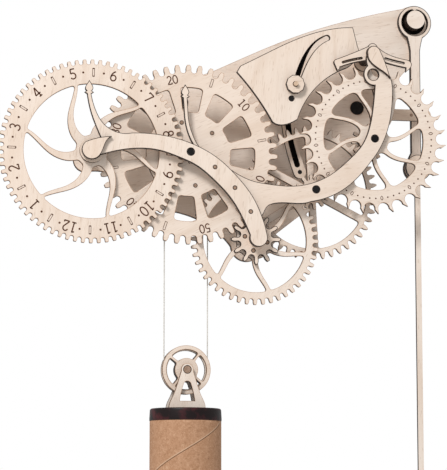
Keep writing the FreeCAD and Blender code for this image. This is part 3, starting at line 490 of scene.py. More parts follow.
def speckled(name, roughness, gloss, noise, span, colours, relief=None):
    """An even stuff, such as rubber, card or cotton. One noise, given by its scale and detail, takes
    the first colour to the second over a span of its values, and is the bump where relief is given."""
    material, tree, shader = blank(name, roughness, Specular_IOR_Level=gloss)
    place = add(tree, "TexCoord").outputs["Object"]
    speck = add(tree, "TexNoise", {"Vector": place, "Scale": noise[0], "Detail": noise[1]}).outputs[0]
    colour = mix(tree, spread(tree, speck, *span), *(linear(c) for c in colours))
    tree.links.new(colour, shader.inputs["Base Color"])
    if relief:
        bump(tree, shader, speck, *relief)
    return material


# Soft black rubber is nearly matt, with a fine bloom that pales it in patches.
RUBBER = speckled(
    "socket_rubber", 0.75, 0.35, (700.0, 4.0), (0.4, 0.7), ("#0a0909", "#1c1a19"), (0.2, 0.05 * MM)
)
dress("wall_sockets", RUBBER)

# %% [markdown]
# ## Burnt dial marks
# The laser also draws the dials, at low power: thin brown strokes that sink into the wood. They
# could be painted in the material, but as thin meshes of their own they stay sharp from any side and
# turn with their wheel. Each mark is a flat prism that stands a few hundredths of a millimetre
# proud of the face.

# %% Prisms from outlines
PROUD = 0.05 * MM
SUNK = 0.10 * MM


def prism_arrays(outlines, face_y):
    """Closed flat prisms from an array of outlines, shaped (marks, corners, 2) in X and Z."""
    count, corners = outlines.shape[:2]
    layers = []
    for y in (face_y - PROUD, face_y + SUNK):
        layers.append(np.insert(outlines, 1, y, axis=2))
    points = np.stack(layers, axis=1).reshape(-1, 3)
    faces = []
    for k in range(count):
        start = 2 * corners * k
        faces += grid_faces(2, corners, close_rows=False, start=start).tolist()
        faces += [list(range(start, start + corners)), list(range(start + corners, start + 2 * corners))]
    return points, faces


def ribbon_arrays(path, half, face_y):
    """A stroke: a strip of even width along a path of points in X and Z, closed on all sides."""
    ahead = np.gradient(path, axis=0)
    if np.allclose(path[0], path[-1]):
        ahead[0] = ahead[-1] = path[1] - path[-2]
    ahead /= np.linalg.norm(ahead, axis=1)[:, None]
    aside = np.stack([-ahead[:, 1], ahead[:, 0]], axis=1) * half
    ring = [
        np.insert(path + aside, 1, face_y - PROUD, axis=1),
        np.insert(path - aside, 1, face_y - PROUD, axis=1),
        np.insert(path - aside, 1, face_y + SUNK, axis=1),
        np.insert(path + aside, 1, face_y + SUNK, axis=1),
    ]
    points = np.stack(ring, axis=1).reshape(-1, 3)
    faces = grid_faces(len(path), 4, close_rows=False).tolist()
    last = 4 * (len(path) - 1)
    faces += [[0, 1, 2, 3], [last, last + 1, last + 2, last + 3]]
    return points, faces


def gather(parts):
    """Many lists of points and faces as one."""
    points, faces, start = [], [], 0
    for some_points, some_faces in parts:
        points.append(some_points)
        faces += [[v + start for v in f] for f in some_faces]
        start += len(some_points)
    return np.concatenate(points), faces


# %% [markdown]
# ## Numerals
# The dial numbers are slab-serif figures of one stroke width, which a laser can draw in a single
# pass. A text object would bring a plain sans-serif face, so each figure is spelled out here as a
# few arcs and straight strokes in a box one unit high.


# %% Figures as strokes
def bow(x, z, rx, rz, start, end, count=15):
    """Part of an ellipse about (x, z), from one angle to another, in degrees."""
    a = np.radians(np.linspace(start, end, count))
    return np.stack([x + rx * np.cos(a), z + rz * np.sin(a)], axis=1)


def bar(*points):
    """A straight stroke from point to point."""
    return np.array(points)


FIGURES = {
    "0": [bow(0.32, 0.50, 0.25, 0.46, 90, 450, 29)],
    "1": [
        bar((0.12, 0.84), (0.32, 0.95)),
        bar((0.32, 0.97), (0.32, 0.04)),
        bar((0.12, 0.04), (0.52, 0.04)),
    ],
    "2": [
        np.concatenate([bow(0.31, 0.71, 0.22, 0.25, 165, -35), bar((0.10, 0.07))]),
        bar((0.08, 0.05), (0.56, 0.05)),
        bar((0.55, 0.02), (0.55, 0.20)),
    ],
    "3": [bow(0.30, 0.73, 0.20, 0.23, 155, -90), bow(0.30, 0.27, 0.25, 0.23, 90, -155)],
    "4": [
        bar((0.42, 0.97), (0.06, 0.32)),
        bar((0.04, 0.31), (0.60, 0.31)),
        bar((0.43, 0.97), (0.43, 0.04)),
        bar((0.27, 0.04), (0.58, 0.04)),
    ],
    "5": [
        bar((0.13, 0.95), (0.53, 0.95)),
        bar((0.15, 0.95), (0.12, 0.53)),
        bow(0.29, 0.31, 0.25, 0.27, 130, -150),
    ],
    "6": [bow(0.32, 0.30, 0.24, 0.26, 90, 450, 25), bow(0.56, 0.34, 0.48, 0.62, 178, 108)],
    "7": [
        bar((0.08, 0.80), (0.08, 0.97)),
        bar((0.06, 0.94), (0.56, 0.94)),
        bar((0.55, 0.94), (0.26, 0.03)),
    ],
    "8": [bow(0.32, 0.74, 0.19, 0.21, 90, 450, 25), bow(0.32, 0.28, 0.24, 0.24, 90, 450, 25)],
    "9": [bow(0.32, 0.70, 0.24, 0.26, 90, 450, 25), bow(0.08, 0.66, 0.48, 0.62, -2, -72)],
}
ADVANCE = 0.66


def radial(points, radius, degrees, centre):
    """Carries flat points to a place on a dial: their up points outwards, their right clockwise."""
    a = math.radians(degrees)
    out = np.array([math.cos(a), math.sin(a)])
    right = np.array([math.sin(a), -math.cos(a)])
    return np.array([centre[0], centre[2]]) + points[:, :1] * right + (points[:, 1:] + radius) * out


def number(text, height, half, radius, degrees, centre, face_y):
    """The strokes of a number, its middle at a radius and an angle of the dial."""
    width = ADVANCE * len(text)
    parts = []
    for k, figure in enumerate(text):
        for stroke in FIGURES[figure]:
            flat = (stroke + np.array([ADVANCE * k - width / 2, -0.5])) * height
            parts.append(ribbon_arrays(radial(flat, radius, degrees, centre), half, face_y))
    return parts


# %% [markdown]
# ## The hour dial
# Twelve numbers run clockwise round the wheel with their feet to its middle. Between them stand
# thin slots with a burnt dot at each end, and a dot on either side of every number.

# %% Hour dial
FIGURE_HEIGHT, FIGURE_HALF = 8.6 * MM, 0.52 * MM
HOUR_RING, HOUR_FIRST_SLOT = 62.1 * MM, 29.2
LINE_HALF = 0.21 * MM


def dots(spots, radius, face_y, sides=12):
    """Round dots at an array of places in X and Z."""
    turn = np.linspace(0.0, 2 * math.pi, sides, endpoint=False)
    rim = np.stack([np.cos(turn), np.sin(turn)], axis=1) * radius
    return prism_arrays(spots[:, None, :] + rim[None], face_y)


def on_dial(radius, degrees, centre):
    """Flat points at a radius from a dial's middle, one for each angle."""
    a = np.radians(np.atleast_1d(degrees))
    return np.stack([centre[0] + radius * np.cos(a), centre[2] + radius * np.sin(a)], axis=1)


def slot(width, length, radius, degrees, centre, face_y):
    """A long thin rectangle drawn in outline, pointing at the middle."""
    x, z = width / 2, length / 2
    loop = np.array([(-x, -z), (x, -z), (x, z), (-x, z), (-x, -z)])
    sides = [radial(loop[k : k + 2], radius, degrees, centre) for k in range(4)]
    return [ribbon_arrays(side, LINE_HALF, face_y) for side in sides]


# Angles are in degrees from the right, turning left. An hour is 30 of them.
HOUR_ZERO, HOUR_STEP, BESIDE = 254.2, 30.0, 7.5
HOUR_DOT, SLOT_DOT, SLOT_DOT_OUT = 0.85 * MM, 0.5 * MM, 3.0 * MM
HOUR_SLOT, SLOT_LENGTH = 1.5 * MM, 6.6 * MM
hour_face = front("hour_wheel")
hour_marks = []
for hour in range(1, 13):
    angle = HOUR_ZERO - HOUR_STEP * hour
    hour_marks += number(str(hour), FIGURE_HEIGHT, FIGURE_HALF, HOUR_RING, angle, HOUR, hour_face)
    beside = on_dial(HOUR_RING, np.array([angle - BESIDE, angle + BESIDE]), HOUR)
    hour_marks.append(dots(beside, HOUR_DOT, hour_face))
for k in range(12):
    angle = HOUR_FIRST_SLOT + HOUR_STEP * k
    hour_marks += slot(HOUR_SLOT, SLOT_LENGTH, HOUR_RING, angle, HOUR, hour_face)
    ends = np.concatenate([on_dial(HOUR_RING + side * SLOT_DOT_OUT, angle, HOUR) for side in (-1, 1)])
    hour_marks.append(dots(ends, SLOT_DOT, hour_face))
hour_dial = outward(piece("hour_dial_marks", *gather(hour_marks)))

# %% [markdown]
# ## The minute dial
# It counts sixty minutes by tens, with one outlined slot half way between the numbers.

# %% Minute dial
MINUTE_RING, MINUTE_FIRST, MINUTE_TICK = 60.2 * MM, -17.5, 12.2
MINUTE_HEIGHT, MINUTE_HALF = 7.0 * MM, 0.45 * MM
MINUTE_STEP, MINUTE_SLOT = 60.0, 1.7 * MM
minute_face = front("minute_wheel")
minute_marks = []
for k in range(6):
    angle = MINUTE_FIRST + MINUTE_STEP * k
    figures = str(10 * k)
    minute_marks += number(figures, MINUTE_HEIGHT, MINUTE_HALF, MINUTE_RING, angle, MINUTE, minute_face)
    tick = MINUTE_TICK + MINUTE_STEP * k
    minute_marks += slot(MINUTE_SLOT, SLOT_LENGTH, MINUTE_RING, tick, MINUTE, minute_face)
minute_dial = outward(piece("minute_dial_marks", *gather(minute_marks)))

# %% [markdown]
# ## The seconds dial
# Twelve small lozenges mark every fifth second, with four dots between each pair.

# %% Seconds dial
SECONDS_RING, SECONDS_FIRST, SECOND_ANGLE = 47.6 * MM, 7.5, 6.0
LOZENGE_LINE, SECONDS_DOT = 0.27 * MM, 0.66 * MM
escape_face = front("escape_wheel")
seconds_marks = []
right_side = [(0, 1.7), (0.75, 0.8), (0.95, 0), (0.75, -0.8)]
left_side = [(0, -1.7), (-0.75, -0.8), (-0.95, 0), (-0.75, 0.8)]
lozenge = np.array(right_side + left_side + right_side[:1]) * MM
for k in range(12):
    angle = SECONDS_FIRST + 30.0 * k
    outline = radial(lozenge, SECONDS_RING, angle, ESCAPE)
    seconds_marks.append(ribbon_arrays(outline, LOZENGE_LINE, escape_face))
    between = angle + SECOND_ANGLE * np.arange(1, 5)
    seconds_marks.append(dots(on_dial(SECONDS_RING, between, ESCAPE), SECONDS_DOT, escape_face, 8))
seconds_dial = outward(piece("seconds_dial_marks", *gather(seconds_marks)))


# %% [markdown]
# ## Burnt wood
# A low-power burn is caramel at its rim and dark brown in its middle, and it loses all gloss.


# %% Burn material
def burn(name, light, dark):
    """Laser-burnt birch: two browns that change over about a millimetre."""
    relief = (0.4, 0.1 * MM)
    return speckled(name, 0.85, 0.2, (900.0, 3.0), (0.35, 0.65), (light, dark), relief)


BURNT = burn("laser_burnt_birch", "#6b452f", "#3f2517")
for dial, body in ((hour_dial, "hour"), (minute_dial, "minute"), (seconds_dial, "escape")):
    dial.data.materials.append(BURNT)
    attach(dial, body)

# %% [markdown]
# ## Scorched rims and painted shade lines
# Where the beam cuts through, its heat browns the face for a fraction of a millimetre beside the
# cut, and that thin dark line is what draws a laser-cut part so sharply. It can't come from a
# pattern, because it follows each plate's own outline. So the outline is read from the packed
# mesh: the edges that only one triangle of the front face uses. A narrow strip is laid along them.
# The pale strips on the wheels, rear plate, brackets and pulley are scorch alone. The near-black
# strips on the frame pieces, knob, anchor, pendulum parts and third pinion are partly scorch and
# partly painted shade: the dark shadow line along a plate's edge, drawn all the way round it.


# %% Outline strips
def face_outline(node, face_y):
    """The front face's outline as points in X and Z, its edges as pairs of points, and at each
    point the direction into the face, long enough to keep a strip's width even round a corner."""
    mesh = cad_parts[node].data
    mesh.calc_loop_triangles()
    points = np.empty(3 * len(mesh.vertices))
    mesh.vertices.foreach_get("co", points)
    corners = np.empty(3 * len(mesh.loop_triangles), dtype=int)
    mesh.loop_triangles.foreach_get("vertices", corners)
    points, merged = np.unique(points.reshape(-1, 3).round(7), axis=0, return_inverse=True)
    triangles = merged.ravel()[corners.reshape(-1, 3)]
    level = np.abs(points[:, 1] - face_y) < 0.01 * MM
    triangles = triangles[level[triangles].all(axis=1)]
    edges = np.concatenate([triangles[:, [0, 1]], triangles[:, [1, 2]], triangles[:, [2, 0]]])
    count = len(points)
    forward = edges[:, 0] * count + edges[:, 1]
    edges = edges[~np.isin(edges[:, 1] * count + edges[:, 0], forward)]
    flat = points[:, [0, 2]]
    run = flat[edges[:, 1]] - flat[edges[:, 0]]
    run /= np.linalg.norm(run, axis=1)[:, None]
    inside = np.stack([-run[:, 1], run[:, 0]], axis=1)
    into = np.zeros_like(flat)
    np.add.at(into, edges[:, 0], inside)
    np.add.at(into, edges[:, 1], inside)
    used, edges = np.unique(edges, return_inverse=True)
    into = into[used]
    long = np.maximum(np.linalg.norm(into, axis=1), 1e-9)[:, None]
    into = into / long * np.minimum(2.0 / long, 1.6)
    return flat[used], edges.reshape(-1, 2), into


def rim_arrays(node, face_y, near, far):
    """A closed strip along the outline, from near to far inside it. Below zero is outside it."""
    flat, edges, into = face_outline(node, face_y)
    ring = []
    for away, y in ((near, -RIM_PROUD), (far, -RIM_PROUD), (far, SUNK), (near, SUNK)):
        ring.append(np.insert(flat + into * away, 1, face_y + y, axis=1))
    points = np.stack(ring, axis=1).reshape(-1, 3)
    faces = []
    for k in range(4):
        after = (k + 1) % 4
        here, there = 4 * edges[:, 0], 4 * edges[:, 1]
        faces.append(np.stack([here + k, here + after, there + after, there + k], axis=1))
    return points, np.concatenate(faces).tolist()


RIM_PROUD = 0.02 * MM
RIM_NEAR, SCORCH_AND_SHADE_WIDTH, SOFT_WIDTH = 0.02 * MM, 0.50 * MM, 0.30 * MM
# Near-black strips: partly laser scorch, partly painted shade along the edges of the front pieces and round
# the pins.
SCORCH_AND_SHADE_RIM = burn("scorched_rim_and_painted_shade", "#2b180e", "#120a06")
SOFT_RIM = burn("scorched_rim_soft", "#c09c80", "#a98468")
SCORCH_AND_SHADE_RIMS = {
    "frame": (
        "front_beam",
        "front_frame_plate",
        "minute_pointer",
        "hour_end_cap",
        "anchor_end_cap",
        "shield_plate",
    ),
    "knob": ("clamp_knob",),
    "anchor": ("anchor_plate",),
    "pendulum": ("pendulum_hanger", "rod_clamp_disc"),
    "third": ("third_pinion",),
}
SOFT_RIMS = {
    "hour": ("hour_wheel",),
    "minute": ("minute_wheel",),
    "third": ("third_wheel",),
    "fourth": ("fourth_wheel",),
    "escape": ("escape_wheel",),
    "frame": ("rear_plate",),
    "weight": ("weight_brackets",),
    "pulley": ("pulley_flanges",),
}
for kind, rims, width, material in (
    ("dark", SCORCH_AND_SHADE_RIMS, SCORCH_AND_SHADE_WIDTH, SCORCH_AND_SHADE_RIM),
    ("soft", SOFT_RIMS, SOFT_WIDTH, SOFT_RIM),
):
    for body, nodes in rims.items():
        strips = [rim_arrays(node, front(node), RIM_NEAR, width) for node in nodes]
        rim = outward(piece("%s_rims_%s" % (body, kind), *gather(strips)))
        rim.data.materials.append(material)
        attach(rim, body)

# %% [markdown]
# ## Rims of the pin holes
# Each pin sits in a hole of its own with a burnt rim, so a pin's end looks ringed. The near-black ring is
# partly that burn and partly painted shade round the pin's end.

# %% Pin rims
PIN_RIMS = {
    "frame": "beam_pins",
    "minute": "minute_hub_pins",
    "third": "third_pinion_pins",
    "weight": "pulley_axle",
}
PIN_RIM_OUT, PIN_RIM_IN = -0.45 * MM, 0.08 * MM
for body, node in PIN_RIMS.items():
    rim = outward(piece(node + "_rims", *rim_arrays(node, front(node), PIN_RIM_OUT, PIN_RIM_IN)))
    rim.data.materials.append(SCORCH_AND_SHADE_RIM)
    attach(rim, body)

# %% [markdown]
# ## Painted shade behind the slots
# The slots in the shield and in the link below it look dark, and so does the gap round the
# pendulum's peg. That dark is deep shade, and thin black sheets paint it in: a full strip behind
# the link's slot, one that tapers upwards behind the shield's so that its painted shade fades towards
# the top, and a flat ring round the peg. What darkens the real ones isn't known, so thin black card
# stands in for it: a full strip behind the link's slot, one that tapers upwards behind the shield's,
# and a washer round the peg. The slot's outline is read from the imported mesh: of a plate's closed
# outlines, the slot is the longest one after the outer edge.


# %% Painted shade behind the slots
def loops_of(node, face_y):
    """The closed outlines of a plate's front face, longest first, each as points in order."""
    flat, edges, _ = face_outline(node, face_y)
    after = dict(edges.tolist())
    loops = []
    while after:
        start, here = after.popitem()
        loop = [start]
        while here != start:
            loop.append(here)
            here = after.pop(here)
        loops.append(flat[loop])
    return sorted(loops, key=lambda loop: -lengths(loop)[-1])


# Sizes of the black sheets that paint shade into the slots and round the peg; the shield's strip narrows
# upwards so that its painted shade fades.
SHADE_SHEET = 0.3 * MM
SHADE_SHEET_LAP = 0.5 * MM
SHADE_SHEET_ROWS = 60
SHADE_SHEET_GAP = 0.02 * MM
SHIELD_SHADE_SHARE, LINK_SHADE_SHARE = (0.85, 0.08), (1.0, 1.0)
PEG_SHADE_RING = 10.6 * MM


def stations(line, count):
    """A flat line's points at even distances along it."""
    along = lengths(line)
    at = np.linspace(0.0, along[-1], count)
    return np.stack([np.interp(at, along, line[:, k]) for k in range(2)], axis=1)


def backing_arrays(node, low_width, high_width):
    """A strip of black sheet against the plate's back, painted shade seen through the slot, from the slot's
    left side across part of its width.

    The two sides run between the slot's lowest and highest points, by even steps along each. The
    strip's other edge lies a share of the way from the left side to the right one, and that share
    goes smoothly from low_width at the foot to high_width at the top.
    """
    slot_loop = loops_of(node, front(node))[1]
    slot_loop = np.roll(slot_loop, -slot_loop[:, 1].argmin(), axis=0)
    peak = slot_loop[:, 1].argmax()
    sides = (slot_loop[: peak + 1], np.concatenate([slot_loop[peak:], slot_loop[:1]])[::-1])
    sides = (stations(side, SHADE_SHEET_ROWS) for side in sides)
    left, right = sorted(sides, key=lambda side: side[:, 0].mean())
    across = right - left
    share = np.linspace(0.0, 1.0, SHADE_SHEET_ROWS)
    share = (low_width + (high_width - low_width) * share**2 * (3 - 2 * share))[:, None]
    lap = SHADE_SHEET_LAP * across / np.maximum(np.linalg.norm(across, axis=1)[:, None], SHADE_SHEET_LAP)
    near, far = left - lap, left + across * share + lap * (share > 0.99)
    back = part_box(node)[1][1]
    corners = ((near, SHADE_SHEET_GAP), (far, SHADE_SHEET_GAP), (far, SHADE_SHEET), (near, SHADE_SHEET))
    ring = [np.insert(edge, 1, back + y, axis=1) for edge, y in corners]
    points = np.stack(ring, axis=1).reshape(-1, 3)
    faces = grid_faces(SHADE_SHEET_ROWS, 4, close_rows=False).tolist()
    last = 4 * (SHADE_SHEET_ROWS - 1)
    return points, faces + [[0, 1, 2, 3], [last, last + 1, last + 2, last + 3]]


def washer_arrays(node, inner, outer, face_y):
    """A flat ring about a round node's middle, lying on a face."""
    a = np.linspace(0.0, 2 * math.pi, 73)
    middle_x, _, middle_z = middle(node)
    radius = (inner + outer) / 2
    path = np.stack([middle_x + radius * np.cos(a), middle_z + radius * np.sin(a)], axis=1)
    return ribbon_arrays(path, (outer - inner) / 2, face_y)


PEG_RADIUS = (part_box("pendulum_peg")[1][0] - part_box("pendulum_peg")[0][0]) / 2
# Painted shade: black strips behind both slots, and a flat black ring round the peg on the rear plate's
# face.
shade_sheets = [backing_arrays("shield_plate", *SHIELD_SHADE_SHARE), backing_arrays("slotted_link", *LINK_SHADE_SHARE)]
shade_sheets.append(washer_arrays("pendulum_peg", PEG_RADIUS, PEG_SHADE_RING, front("rear_plate")))
painted_shade_sheet = outward(piece("painted_shade_slot_sheet", *gather(shade_sheets)))
# A matt near-black for the sheets of painted shade.
PAINTED_SHADE_BLACK = speckled("painted_shade_black", 0.9, 0.1, (800.0, 3.0), (0.3, 0.7), ("#080605", "#15100d"))
painted_shade_sheet.data.materials.append(PAINTED_SHADE_BLACK)
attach(painted_shade_sheet, "frame")

# %% [markdown]
# ## The paper tube
# The weight is a mailing tube: kraft paper wound in a spiral, so one long seam climbs round it.
# A cylinder with a drawn line would look flat. Here the grid's columns are wound with the seam,
# which lets one crowded group of columns carry the groove and the raised edge of the paper.

# %% Spiral tube
TUBE_PITCH = 104.0 * MM
TUBE_LOW, TUBE_HIGH = (np.array(p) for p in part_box("weight_tube"))
TUBE_AXIS = middle("weight_tube")
TUBE_OUTER = (TUBE_HIGH[0] - TUBE_LOW[0]) / 2
TUBE_INNER = 26.4 * MM
SEAM_FRONT_Z = -0.278


def spiral_tube(name, columns=120, rows=150):
    """A tube whose columns climb as a helix of one pitch. Its outer radius dips at the seam by a
    narrow bell, and stands proud beside it by a wider one that fades round the tube."""
    even_part = np.linspace(0.02, 0.98, columns)
    seam_part = np.array([-0.012, -0.008, -0.005, -0.003, -0.0015, 0.0, 0.0015, 0.003, 0.005, 0.008, 0.012])
    u = np.concatenate([seam_part, even_part])
    z = np.linspace(TUBE_LOW[2], TUBE_HIGH[2], rows)
    turn = 2 * math.pi * (u[None, :] + (z[:, None] - SEAM_FRONT_Z) / TUBE_PITCH) - math.pi / 2
    dip = 0.30 * MM * np.exp(-((u / 0.0028) ** 2)) - 0.10 * MM * np.exp(-(((u + 0.009) / 0.006) ** 2))
    radius = np.concatenate(
        [np.broadcast_to(TUBE_OUTER - 0.10 * MM - dip, (rows, len(u))), np.full((rows, len(u)), TUBE_INNER)]
    )
    turn = np.concatenate([turn, turn[::-1]])
    height = np.concatenate([z, z[::-1]])[:, None] + 0.0 * turn
    points = np.stack(
        [TUBE_AXIS[0] + radius * np.cos(turn), TUBE_AXIS[1] + radius * np.sin(turn), height], axis=2
    )
    made = outward(piece(name, points.reshape(-1, 3), grid_faces(2 * rows, len(u)), smooth=True))
    # Painted light for the seam: above zero is painted shade in the groove, below zero a painted highlight
    # on the raised edge beside it.
    shade = np.exp(-((u / 0.0035) ** 2)) - 0.7 * np.exp(-(((u + 0.008) / 0.004) ** 2))
    seam_painted_light = made.data.attributes.new("seam_painted_light", "FLOAT", "POINT")
    seam_painted_light.data.foreach_set("value", np.tile(shade, 2 * rows).astype(np.float32))
    return made


paper_tube = spiral_tube("kraft_paper_tube")


# %% [markdown]
# ## Kraft paper
# Unbleached paper is a felt of brown fibres: mottled over a few millimetres, flecked with darker
# and paler hairs, and quite matt. Along the seam the colour also carries painted shade in the groove
# and a painted highlight on the raised edge.


# %% Kraft material
def kraft(name):
    """Kraft paper: two scales of mottling, dark specks, a fibrous bump, and painted shade and highlight
    along the seam.
    """
    material, tree, shader = blank(name, 0.82, Specular_IOR_Level=0.3)
    place = add(tree, "TexCoord").outputs["Object"]
    mottle = {"Vector": place, "Scale": 160.0, "Detail": 6.0, "Roughness": 0.7}
    clouds = add(tree, "TexNoise", mottle).outputs[0]
    hairs = {"Vector": place, "Scale": 650.0, "Detail": 3.0, "Distortion": 1.5}
    felt = add(tree, "TexNoise", hairs).outputs[0]
    specks = add(tree, "TexVoronoi", {"Vector": place, "Scale": 110.0}, feature="F1").outputs[0]
    colour = mix(tree, spread(tree, clouds, 0.35, 0.65), linear("#bd9273"), linear("#ad8161"))
    seam_painted_light = add(tree, "Attribute", attribute_name="seam_painted_light").outputs["Fac"]
    for value, start, end, most, tint in (
        (felt, 0.52, 0.72, 0.55, "#86603f"),
        (felt, 0.45, 0.28, 0.50, "#dcb898"),
        (specks, 0.07, 0.03, 0.8, "#5c3a26"),
        # painted shade in the seam's groove, then a painted highlight on the raised edge beside it
        (seam_painted_light, 0.05, 0.9, 0.75, "#4b2f1f"),
        (seam_painted_light, -0.05, -0.6, 0.45, "#ecd2b6"),
    ):
        colour = mix(tree, spread(tree, value, start, end, 0.0, most), colour, linear(tint))
    tree.links.new(colour, shader.inputs["Base Color"])
    bump(tree, shader, felt, 0.5, 0.12 * MM)
    return material


paper_tube.data.materials.append(kraft("kraft_paper"))
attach(paper_tube, "weight")
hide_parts("weight_tube")

# %% [markdown]
# ## Turned shapes
# Lids, nut and screw are surfaces of revolution: a profile of radius and height, carried round an
# upright axis. Rounded corners catch the light, and that is what makes a moulded lid look moulded.


# %% Lathe
def lathe(name, profile, axis, columns=96, ripple=None):
    """Carries a closed profile of (radius, height) round an upright axis. ripple, if given, is a
    function of the angle, the radius and the height that gives each point's new radius."""
    profile = np.asarray(profile)
    turn = np.linspace(0.0, 2 * math.pi, columns, endpoint=False)[None, :]
    radius = profile[:, :1] + 0.0 * turn
    height = profile[:, 1:] + 0.0 * turn
    if ripple is not None:
        radius = ripple(turn + 0.0 * radius, radius, height)
    points = np.stack([axis[0] + radius * np.cos(turn), axis[1] + radius * np.sin(turn), height], axis=2)
    return outward(piece(name, points.reshape(-1, 3), grid_faces(len(profile), columns), smooth=True))


def rounded(x, z, radius, start, end, count=7):
    """A fillet of the profile: an arc about (x, z)."""
    a = np.radians(np.linspace(start, end, count))
    return np.stack([x + radius * np.cos(a), z + radius * np.sin(a)], axis=1)


# %% Lids
LID_LOW, LID_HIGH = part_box("tube_lids")
LID_RADIUS = (LID_HIGH[0] - LID_LOW[0]) / 2
LID_FACE = LID_HIGH[2] - TUBE_HIGH[2]
PLUG_DEPTH, PLUG_RADIUS, HOLLOW = 12.0 * MM, 26.35 * MM, 0.3 * MM


def lid_profile(seat, up):
    """From the seat on the tube's end outwards: lip, rounded face and a plug that grips inside."""
    steps = [
        [(PLUG_RADIUS, 0.0)],
        rounded(LID_RADIUS - 0.6 * MM, 0.6 * MM, 0.6 * MM, -90, 0),
        rounded(LID_RADIUS - 2.0 * MM, LID_FACE - 1.6 * MM, 1.6 * MM, 0, 90),
        [(LID_RADIUS - 5.0 * MM, LID_FACE), (LID_RADIUS - 6.0 * MM, LID_FACE - HOLLOW)],
        [(HOLLOW, LID_FACE - HOLLOW), (HOLLOW, -PLUG_DEPTH)],
        [(PLUG_RADIUS - 1.0 * MM, -PLUG_DEPTH), (PLUG_RADIUS, -PLUG_DEPTH + 1.0 * MM)],
    ]
    profile = np.concatenate([np.array(s) for s in steps])
    profile[:, 1] = seat + up * profile[:, 1]
    return profile


top_lid = lathe("top_lid", lid_profile(TUBE_HIGH[2], 1.0), TUBE_AXIS, 128)
foot_lid = lathe("foot_lid", lid_profile(TUBE_LOW[2], -1.0), TUBE_AXIS, 128)


# %% [markdown]
# ## Moulded lid
# A near-black plastic with a trace of brown, lightly grained by its mould.


# %% Lid material
def moulded(name):
    """Near-black polypropylene: even, a little glossy, with a cloudy trace of oxblood brown."""
    material, tree, shader = blank(name, 0.42, Specular_IOR_Level=0.25)
    place = add(tree, "TexCoord").outputs["Object"]
    clouds = add(tree, "TexNoise", {"Vector": place, "Scale": 120.0, "Detail": 3.0}).outputs[0]
    grain = add(tree, "TexNoise", {"Vector": place, "Scale": 1400.0, "Detail": 2.0}).outputs[0]
    colour = mix(tree, spread(tree, clouds, 0.45, 0.70), linear("#180d0e"), linear("#471b1f"))
    tree.links.new(colour, shader.inputs["Base Color"])
    bump(tree, shader, grain, 0.35, 0.06 * MM)
    return material


LID = moulded("black_polypropylene")
for lid in (top_lid, foot_lid):
    lid.data.materials.append(LID)
    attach(lid, "weight")
    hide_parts("tube_lids")

# %% [markdown]
# ## Rating screw and nut
# The pendulum's rate is set by a knurled brass nut on a threaded brass rod under the bob. The thread
# is a radius that winds up the rod; the knurl is a ripple round the nut.

# %% Nut and screw
SCREW_LOW, SCREW_HIGH = (np.array(p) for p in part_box("rating_screw"))
NUT_LOW, NUT_HIGH = (np.array(p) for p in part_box("rating_nut"))
SCREW_AXIS = middle("rating_screw")
THREAD, THREAD_DEPTH = 0.7 * MM, 0.30 * MM
KNURLS, KNURL_DEPTH, KNURL_FROM = 36, 0.22 * MM, 5.0 * MM


def thread(turn, radius, height):
    """A winding ridge: the radius falls and rises once in each turn and each pitch of height."""
    wave = np.abs(((height / THREAD - turn / (2 * math.pi)) % 1.0) * 2 - 1)
    return np.where(radius > 1.0 * MM, radius - THREAD_DEPTH * wave, radius)


def knurl(turn, radius, _height):
    """Ridges up the nut's side: outside KNURL_FROM the radius dips as one minus a cosine."""
    dip = KNURL_DEPTH * (1 - np.cos(KNURLS * turn)) / 2
    return np.where(radius > KNURL_FROM, radius - dip, radius)


screw_radius = (SCREW_HIGH[0] - SCREW_LOW[0]) / 2
heights = np.arange(SCREW_LOW[2] + 0.3 * MM, SCREW_HIGH[2], THREAD / 8)
screw_profile = [(0.2 * MM, SCREW_LOW[2])]
screw_profile += [(screw_radius, h) for h in heights]
screw_profile += [(0.2 * MM, SCREW_HIGH[2])]
rating_screw = lathe("threaded_rod", screw_profile, SCREW_AXIS, 24, thread)
nut_radius = (NUT_HIGH[0] - NUT_LOW[0]) / 2
nut_profile = np.concatenate(
    [
        [(screw_radius, NUT_LOW[2])],
        rounded(nut_radius - 0.6 * MM, NUT_LOW[2] + 0.6 * MM, 0.6 * MM, -90, 0, 4),
        rounded(nut_radius - 0.6 * MM, NUT_HIGH[2] - 0.6 * MM, 0.6 * MM, 0, 90, 4),
        [(screw_radius, NUT_HIGH[2])],
    ]
)
rating_nut = lathe("knurled_nut", nut_profile, SCREW_AXIS, 216, knurl)
for made, node in ((rating_screw, "rating_screw"), (rating_nut, "rating_nut")):
    made.data.materials.append(BRASS)
    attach(made, "pendulum")
    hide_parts(node)

# %% [markdown]
# ## Cord on the drum
# The rest of the cord is wound on the drum in close turns, which show from behind and from the side.

# %% Windings
TURN_STEP = 1.02 * CORD
WOUND_LOW, WOUND_HIGH = (np.array(p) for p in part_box("cord_windings"))
wound_radius = (WOUND_HIGH[0] - WOUND_LOW[0]) / 2 - CORD / 2
drum_axis = middle("cord_windings")
turns = (WOUND_HIGH[1] - WOUND_LOW[1] - CORD) / TURN_STEP
sweep = np.linspace(0.0, 2 * math.pi * turns, int(turns * 90))
wound_line = np.stack(
    [
        drum_axis[0] + wound_radius * np.cos(sweep),
        WOUND_LOW[1] + CORD / 2 + TURN_STEP * sweep / (2 * math.pi),
        drum_axis[2] + wound_radius * np.sin(sweep),
    ],
    axis=1,
)


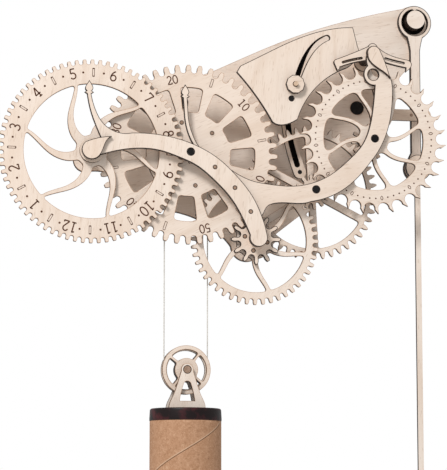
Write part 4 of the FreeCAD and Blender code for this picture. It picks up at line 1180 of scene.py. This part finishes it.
def wound(name, path, radius, sides):
    """A tube along a coil about the drum's axis, its rings square to the coil."""
    on_axis = np.array([drum_axis[0], 0.0, drum_axis[2]]) + path * [0.0, 1.0, 0.0]
    outwards = path - on_axis
    outwards /= np.linalg.norm(outwards, axis=1)[:, None]
    turn = np.linspace(0.0, 2 * math.pi, sides, endpoint=False)[None, :, None]
    points = path[:, None, :] + radius * (
        outwards[:, None, :] * np.cos(turn) + np.array([0.0, 1.0, 0.0]) * np.sin(turn)
    )
    faces = grid_faces(len(path), sides, close_rows=False).tolist()
    faces += [list(range(sides)), list(range((len(path) - 1) * sides, len(path) * sides))]
    return outward(piece(name, points.reshape(-1, 3), faces, smooth=True))


windings = wound("cord_on_drum", wound_line, CORD / 2, 8)


# %% Cotton material
# Braided cotton is pale grey, darker between the strands, soft and matt.
COTTON = speckled(
    "braided_cotton", 0.9, 0.2, (1200.0, 3.0), (0.35, 0.65), ("#e4e0da", "#c4bfb7"), (0.5, 0.08 * MM)
)
for made in (drive_cord, windings):
    made.data.materials.append(COTTON)
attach(windings, "drum")
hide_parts("cord_windings")
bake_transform(drive_cord)
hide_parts("drive_cord", "cord_lead")

# %% [markdown]
# ## Floor and light
# A pale floor lies well below the clock, and the light is that of a white studio: bright all round,
# with one large soft lamp above and to the left that gives each layer its shadow.

# %% Floor
FLOOR_Z = -1.16
FLOOR_HALF = 4.0
floor_corners = ((-1, -1), (1, -1), (1, 1), (-1, 1))
floor_points = [(x * FLOOR_HALF, y * FLOOR_HALF, FLOOR_Z) for x, y in floor_corners]
floor = piece("floor", floor_points, [(0, 1, 2, 3)])
floor_material, _, floor_shader = blank("pale_floor", 0.8)
floor_shader.inputs["Base Color"].default_value = linear("#f4f2ef")
floor.data.materials.append(floor_material)


# %% Lights
def soft_lamp(name, place, size, power, target=LOOK_AT):
    """A square lamp that faces the target."""
    lamp = bpy.data.lights.new(name, "AREA")
    lamp.energy = power
    lamp.size = size
    made = bpy.data.objects.new(name, lamp)
    made.location = place
    aim = Vector(target.tolist()) - made.location
    made.rotation_euler = aim.to_track_quat("-Z", "Y").to_euler()
    bpy.context.scene.collection.objects.link(made)
    return made


AMBIENT = 0.55
soft_lamp("key", (-1.0, -1.5, 1.2), 0.5, 35.0)
world = bpy.data.worlds.new("studio")
world.use_nodes = True
sky = world.node_tree.nodes["Background"]
sky.inputs["Color"].default_value = (1.0, 1.0, 1.0, 1.0)
seen = add(world.node_tree, "LightPath").outputs["Is Camera Ray"]
world.node_tree.links.new(spread(world.node_tree, seen, 0.0, 1.0, AMBIENT, 1.0), sky.inputs["Strength"])
bpy.context.scene.world = world
bpy.context.scene.view_settings.view_transform = "Standard"

bpy.context.view_layer.update()
